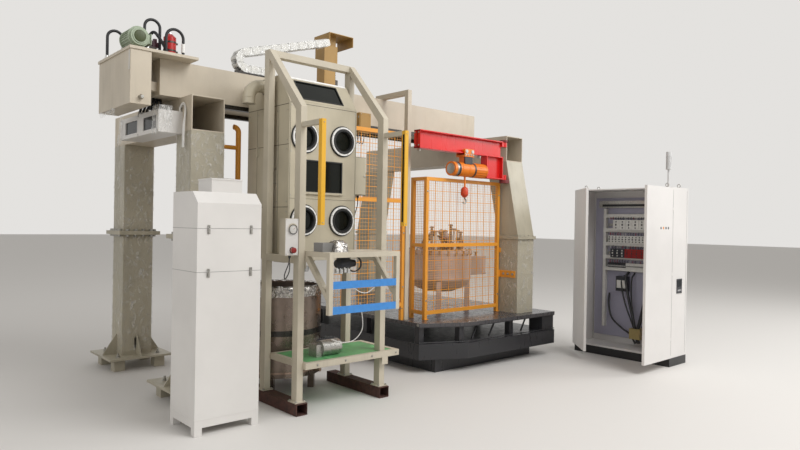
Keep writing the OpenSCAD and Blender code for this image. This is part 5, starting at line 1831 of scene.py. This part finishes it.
# Rows of switchgear from the top: height above the plate's foot; the pitch, height and depth of
# one unit, in millimetres; and its material slot in each third of the row
SWITCH_ROWS = ((1450, 88, 128, 78, (4, 4, 4)), (1262, 46, 96, 62, (4, 4, 1)),
               (1085, 66, 112, 92, (3, 5, 3)), (930, 14, 62, 50, (3, 1, 3)))


def build_cabinet_wiring():
    low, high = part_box("cabinet_panel")
    face = Vector((high.x - 0.045, low.y, low.z))
    bm = bmesh.new()
    add_block(bm, face, high, 0)
    header = (high.z - low.z) * 1000 - 130
    blocks(bm, face, (-60, 40, header, 0, 1060, header + 90, 2), (-66, 90, header + 16, -60, 1010,
            header + 46, 6))
    for z in (1545, 1360, 1180, 1010, 860):
        add_trunking(bm, face + mm(0, 100, z), 900)
    for y in (84, 960):
        blocks(bm, face, (-52, y, 120, 0, y + 38, 1660, 1))
    for z, pitch, height, depth, slots in SWITCH_ROWS:
        rail = face + mm(-9, 130, z - 18)
        blocks(bm, rail, (0, 0, 0, 9, 820, 35, 2))
        add_row(bm, face + mm(-9, 140, z), pitch, height, depth, slots)
    blocks(bm, face, (-150, 420, 20, 0, 560, 150, 7), (-85, 640, 600, 0, 790, 790, 3),
           (-88, 655, 640, -85, 775, 740, 4))
    inner = make_piece("switchgear_rows", bm,
                       "mounting plate, switchgear white, zinc plate, switchgear grey, "
                       "switchgear white, lamp red, cable black, wiring brown", 0.0006)
    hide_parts("cabinet_panel")
    hang_cables(face)


def add_trunking(bm, at, length):
    """Add a slotted wiring duct."""
    for z in (0, 37):
        blocks(bm, at, (-48, 0, z, 0, length, z + 3, 1))
    blocks(bm, at, (-51, 0, -1, -48, length, 41, 1))
    for k in range(int(length / 12)):
        y = 3 + 12 * k
        for z in (-7, 40):
            blocks(bm, at, (-44, y, z, -4, y + 6, z + 7, 1))


def add_row(bm, at, pitch, height, depth, slots):
    """Add a row of switchgear units."""
    for k in range(int(790 / pitch)):
        slot = slots[min(2, int(k * pitch / 264))]
        unit = at + mm(-depth, k * pitch, -height / 2)
        blocks(bm, unit, (0, 0, 0, depth, pitch - 2, height, slot))
        mark = 3 if slot != 3 else 4
        if pitch < 20:
            blocks(bm, unit, (-2, 3, 12, 0, pitch - 5, 30, mark))
            continue
        for z in (0.2, 0.8):
            studs(bm, unit, (LEFT, 0.009, 0.003, mark), (0, pitch / 2, height * z))
        blocks(bm, unit, (-9, pitch / 2 - 7, height * 0.42, 0, pitch / 2 + 7, height * 0.6, mark))


def hang_cables(face):
    """Hang the loose cables in a knot."""
    bm = bmesh.new()
    rng = random.Random(5)
    for z, _, height, _, _ in SWITCH_ROWS:
        for k in range(22):
            start = face + mm(-58, 150 + k * 35, z + height / 2 + 2)
            cable(bm, start, ((0, 0, 0), (-14, rng.uniform(-4, 4), 16), (-2, rng.uniform(-6, 6),
                    rng.uniform(30, 42))), 0.003, rng.choice((0, 0, 1, 0, 2)), 4)
    knot = face + mm(-120, 470, 90)
    for k, (y, z) in enumerate(((250, 860), (300, 820), (640, 850), (560, 840), (700, 800))):
        start = face + mm(-30, y, z)
        add_cable(bm, [start, start + mm(-60, 8, -90), start.lerp(knot, 0.45) + mm(-40, 12 * k,
                -20), start.lerp(knot, 0.8) + mm(-20, 6 * k, -8), knot + mm(4 * k, 8 * k, 0),
                knot + mm(0, -30 + 8 * k, -120)], 0.016 if k < 3 else 0.01, 0)
    cable(bm, face, ((-40, 900, 560), (-90, 880, 420), (-110, 820, 250), (-60, 700, 120),
                     (-50, 600, 60), (-60, 520, -50)), 0.012, 0)
    make_piece("cabinet_cables", bm, "cable black, cable red, cable white")


class DIECAST_OT_cabinet_wiring(bpy.types.Operator):
    """Fill the electric cabinet: switchgear rows, trunking, drive and hanging cables"""
    bl_idname = "diecast.cabinet_wiring"
    bl_label = "Cabinet wiring"

    def execute(self, context):
        build_cabinet_wiring()
        return {"FINISHED"}


# Depth of the cabinet's shell in millimetres
SHELL_DEPTH = 420


def dress_body(low, high):
    """Fit plinth, seams and small parts to the cabinet."""
    shell = Vector((high.x - SHELL_DEPTH / 1000, (low.y + high.y) / 2 - 0.63, 0))
    bm = bmesh.new()
    add_frame(bm, shell + mm(-3, -3, 0), (0, 1), (SHELL_DEPTH + 3, 1266), 5, 99, 0)
    add_frame(bm, shell + mm(-0.8, 0, 100), (1, 2), (1260, 2000), 14, 0.8, 1)
    for y in (15, 1241):
        blocks(bm, shell, (6, y, 116, 14, y + 4, 2084, 2))
    for x in (60, SHELL_DEPTH - 60):
        for y in (90, 1170):
            eye = shell + mm(x, y, 2100)
            studs(bm, eye, (UP, 0.018, 0.012, 3, 16))
            loop = [eye + mm(0, 19 * cos(a),
                             31 + 19 * sin(a)) for a in (2 * pi * k / 16 for k in range(17))]
            add_sweep(bm, loop, 0.005, 3, 8)
    for x in (0, 30, SHELL_DEPTH - 33):
        blocks(bm, shell, (x, -1.2, 130, x + 3, 0, 2070, 2))
    meter = shell + mm(150, 0, 850)
    blocks(bm, meter, (0, -7, 0, 130, 0, 170, 4), (14, -9, 76, 116, -7, 156, 5))
    for k in range(3):
        studs(bm, meter, (FRONT, 0.01, 0.004, 6), (30 + 35 * k, -7, 36))
    blocks(bm, shell, (0, 16, 114, 60, 1244, 122, 1))
    make_piece("cabinet_fittings", bm,
               "plinth black, cabinet powder coat, cabinet grey, zinc plate, switchgear grey, "
               "meter glass, lamp grey", 0.0008)


def dress_door(node, turn):
    """Fit a door: drawn along -X from its hinge, with its outside towards -Y."""
    near_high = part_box("near_door")[1]
    hinge = Vector((near_high.x - 0.01, near_high.y - 0.015, 0))
    near = node == "near_door"
    low_z, high_z = 112, 2088
    start, end = -628, -20
    bm = bmesh.new()
    add_frame(bm, mm(start + 8, 15, low_z + 10), (0, 2), (end - start - 16, high_z - low_z - 20),
              14, 4, 0)
    for part in (0.16, 0.5, 0.84):
        z = low_z + (high_z - low_z) * part
        blocks(bm, ORIGIN, (start + 30, 15, z, end - 30, 27, z + 20, 1))
    rods(bm, ORIGIN, (0.005, 3, 10), (start + 30, 19, 160, start + 30, 19, 2040))
    if near:
        for k, slot in enumerate((2, 4, 2, 2)):
            studs(bm, ORIGIN, (FRONT, 0.016, 0.0004, slot, 20), (start + 330 + 60 * k, -15, 1620))
    else:
        pocket = mm(start + 170, 15, 1290)
        add_frame(bm, pocket, (0, 2), (250, 180), 4, 28, 5)
        blocks(bm, pocket, (0, 24, 0, 250, 28, 180, 5), (24, 8, 4, 226, 18, 210, 6))
        for vert in bm.verts:
            vert.co.y = -vert.co.y
        hinge.y += 1.284
    spin = Matrix.Translation(hinge) @ Matrix.Rotation(radians(turn), 4, "Z")
    bmesh.ops.transform(bm, matrix=spin, verts=bm.verts)
    make_piece(node + "_fittings", bm,
               "neoprene, cabinet powder coat, switchgear grey, zinc plate, lamp amber, "
               "cabinet grey, switchgear white", 0.0008, body=node)


def dress_lamp():
    """Ring and bolt the signal lamp."""
    low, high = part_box("signal_lamp")
    middle = (low + high) / 2
    foot = Vector((middle.x, middle.y, low.z))
    bm = bmesh.new()
    for k in range(3):
        a = radians(90 + 120 * k)
        bolts(bm, foot, (UP, 0.006, 0, False), (27 * cos(a), 27 * sin(a), 10))
    for k in range(4):
        hoops(bm, foot, (UP, 0.03, 0.0325, 0.006, 1, 28), (0, 0, 224 + 50 * k))
        for turn in range(9 if k < 3 else 0):
            hoops(bm, foot, (UP, 0.03, 0.0316, 0.002, 1, 28), (0, 0, 236 + 50 * k + 4 * turn))
    studs(bm, foot, (UP, 0.028, 0.002, 1, 28), (0, 0, 428))
    make_piece("lamp_rings", bm, "zinc plate, lamp grey")


class DIECAST_OT_cabinet_trim(bpy.types.Operator):
    """Fit the cabinet's outside: door seals, locks, meter, lamp, eyes and plinth"""
    bl_idname = "diecast.cabinet_trim"
    bl_label = "Electric cabinet"

    def execute(self, context):
        low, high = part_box("cabinet_body")
        dress_body(low, high)
        dress_door("near_door", 0)
        dress_door("far_door", 45)
        dress_lamp()
        return {"FINISHED"}


CLASSES = (
    DieCastPaint, DieCastSizes, DIECAST_OT_frame_finishes, DIECAST_OT_stage,
    DIECAST_OT_column_fittings, DIECAST_OT_wrapping_film, DIECAST_OT_hydraulic_fittings,
    DIECAST_OT_instrument_windows, DIECAST_OT_chain_links, DIECAST_OT_manipulator_parts,
    DIECAST_OT_booth_trim, DIECAST_OT_station_trim, DIECAST_OT_dip_tank_trim,
    DIECAST_OT_fence_mesh, DIECAST_OT_platform_trim, DIECAST_OT_furnace_trim,
    DIECAST_OT_jib_trim, DIECAST_OT_filter_trim, DIECAST_OT_cabinet_wiring,
    DIECAST_OT_cabinet_trim,
)
STEPS = [each for each in CLASSES if issubclass(each, bpy.types.Operator)]


class DIECAST_PT_panel(bpy.types.Panel):
    """Lists the machine's steps, colours and sizes"""
    bl_label = "Die Casting Machine"
    bl_idname = "DIECAST_PT_panel"
    bl_space_type = "VIEW_3D"
    bl_region_type = "UI"
    bl_category = "Die Casting"

    def draw(self, context):
        layout = self.layout
        for step in STEPS:
            layout.operator(step.bl_idname)
        for group in (context.scene.diecast_paint, context.scene.diecast_sizes):
            box = layout.box()
            for name in group.bl_rna.properties.keys():
                if name not in ("rna_type", "name"):
                    box.prop(group, name)


def register():
    for each in (*CLASSES, DIECAST_PT_panel):
        bpy.utils.register_class(each)
    bpy.types.Scene.diecast_paint = bpy.props.PointerProperty(type=DieCastPaint)
    bpy.types.Scene.diecast_sizes = bpy.props.PointerProperty(type=DieCastSizes)


def unregister():
    del bpy.types.Scene.diecast_sizes
    del bpy.types.Scene.diecast_paint
    for each in reversed((*CLASSES, DIECAST_PT_panel)):
        bpy.utils.unregister_class(each)


def main():
    """Build everything in order."""
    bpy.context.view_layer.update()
    register()
    for step in STEPS:
        group, name = step.bl_idname.split(".")
        getattr(getattr(bpy.ops, group), name)()


if __name__ == "__main__":
    main()
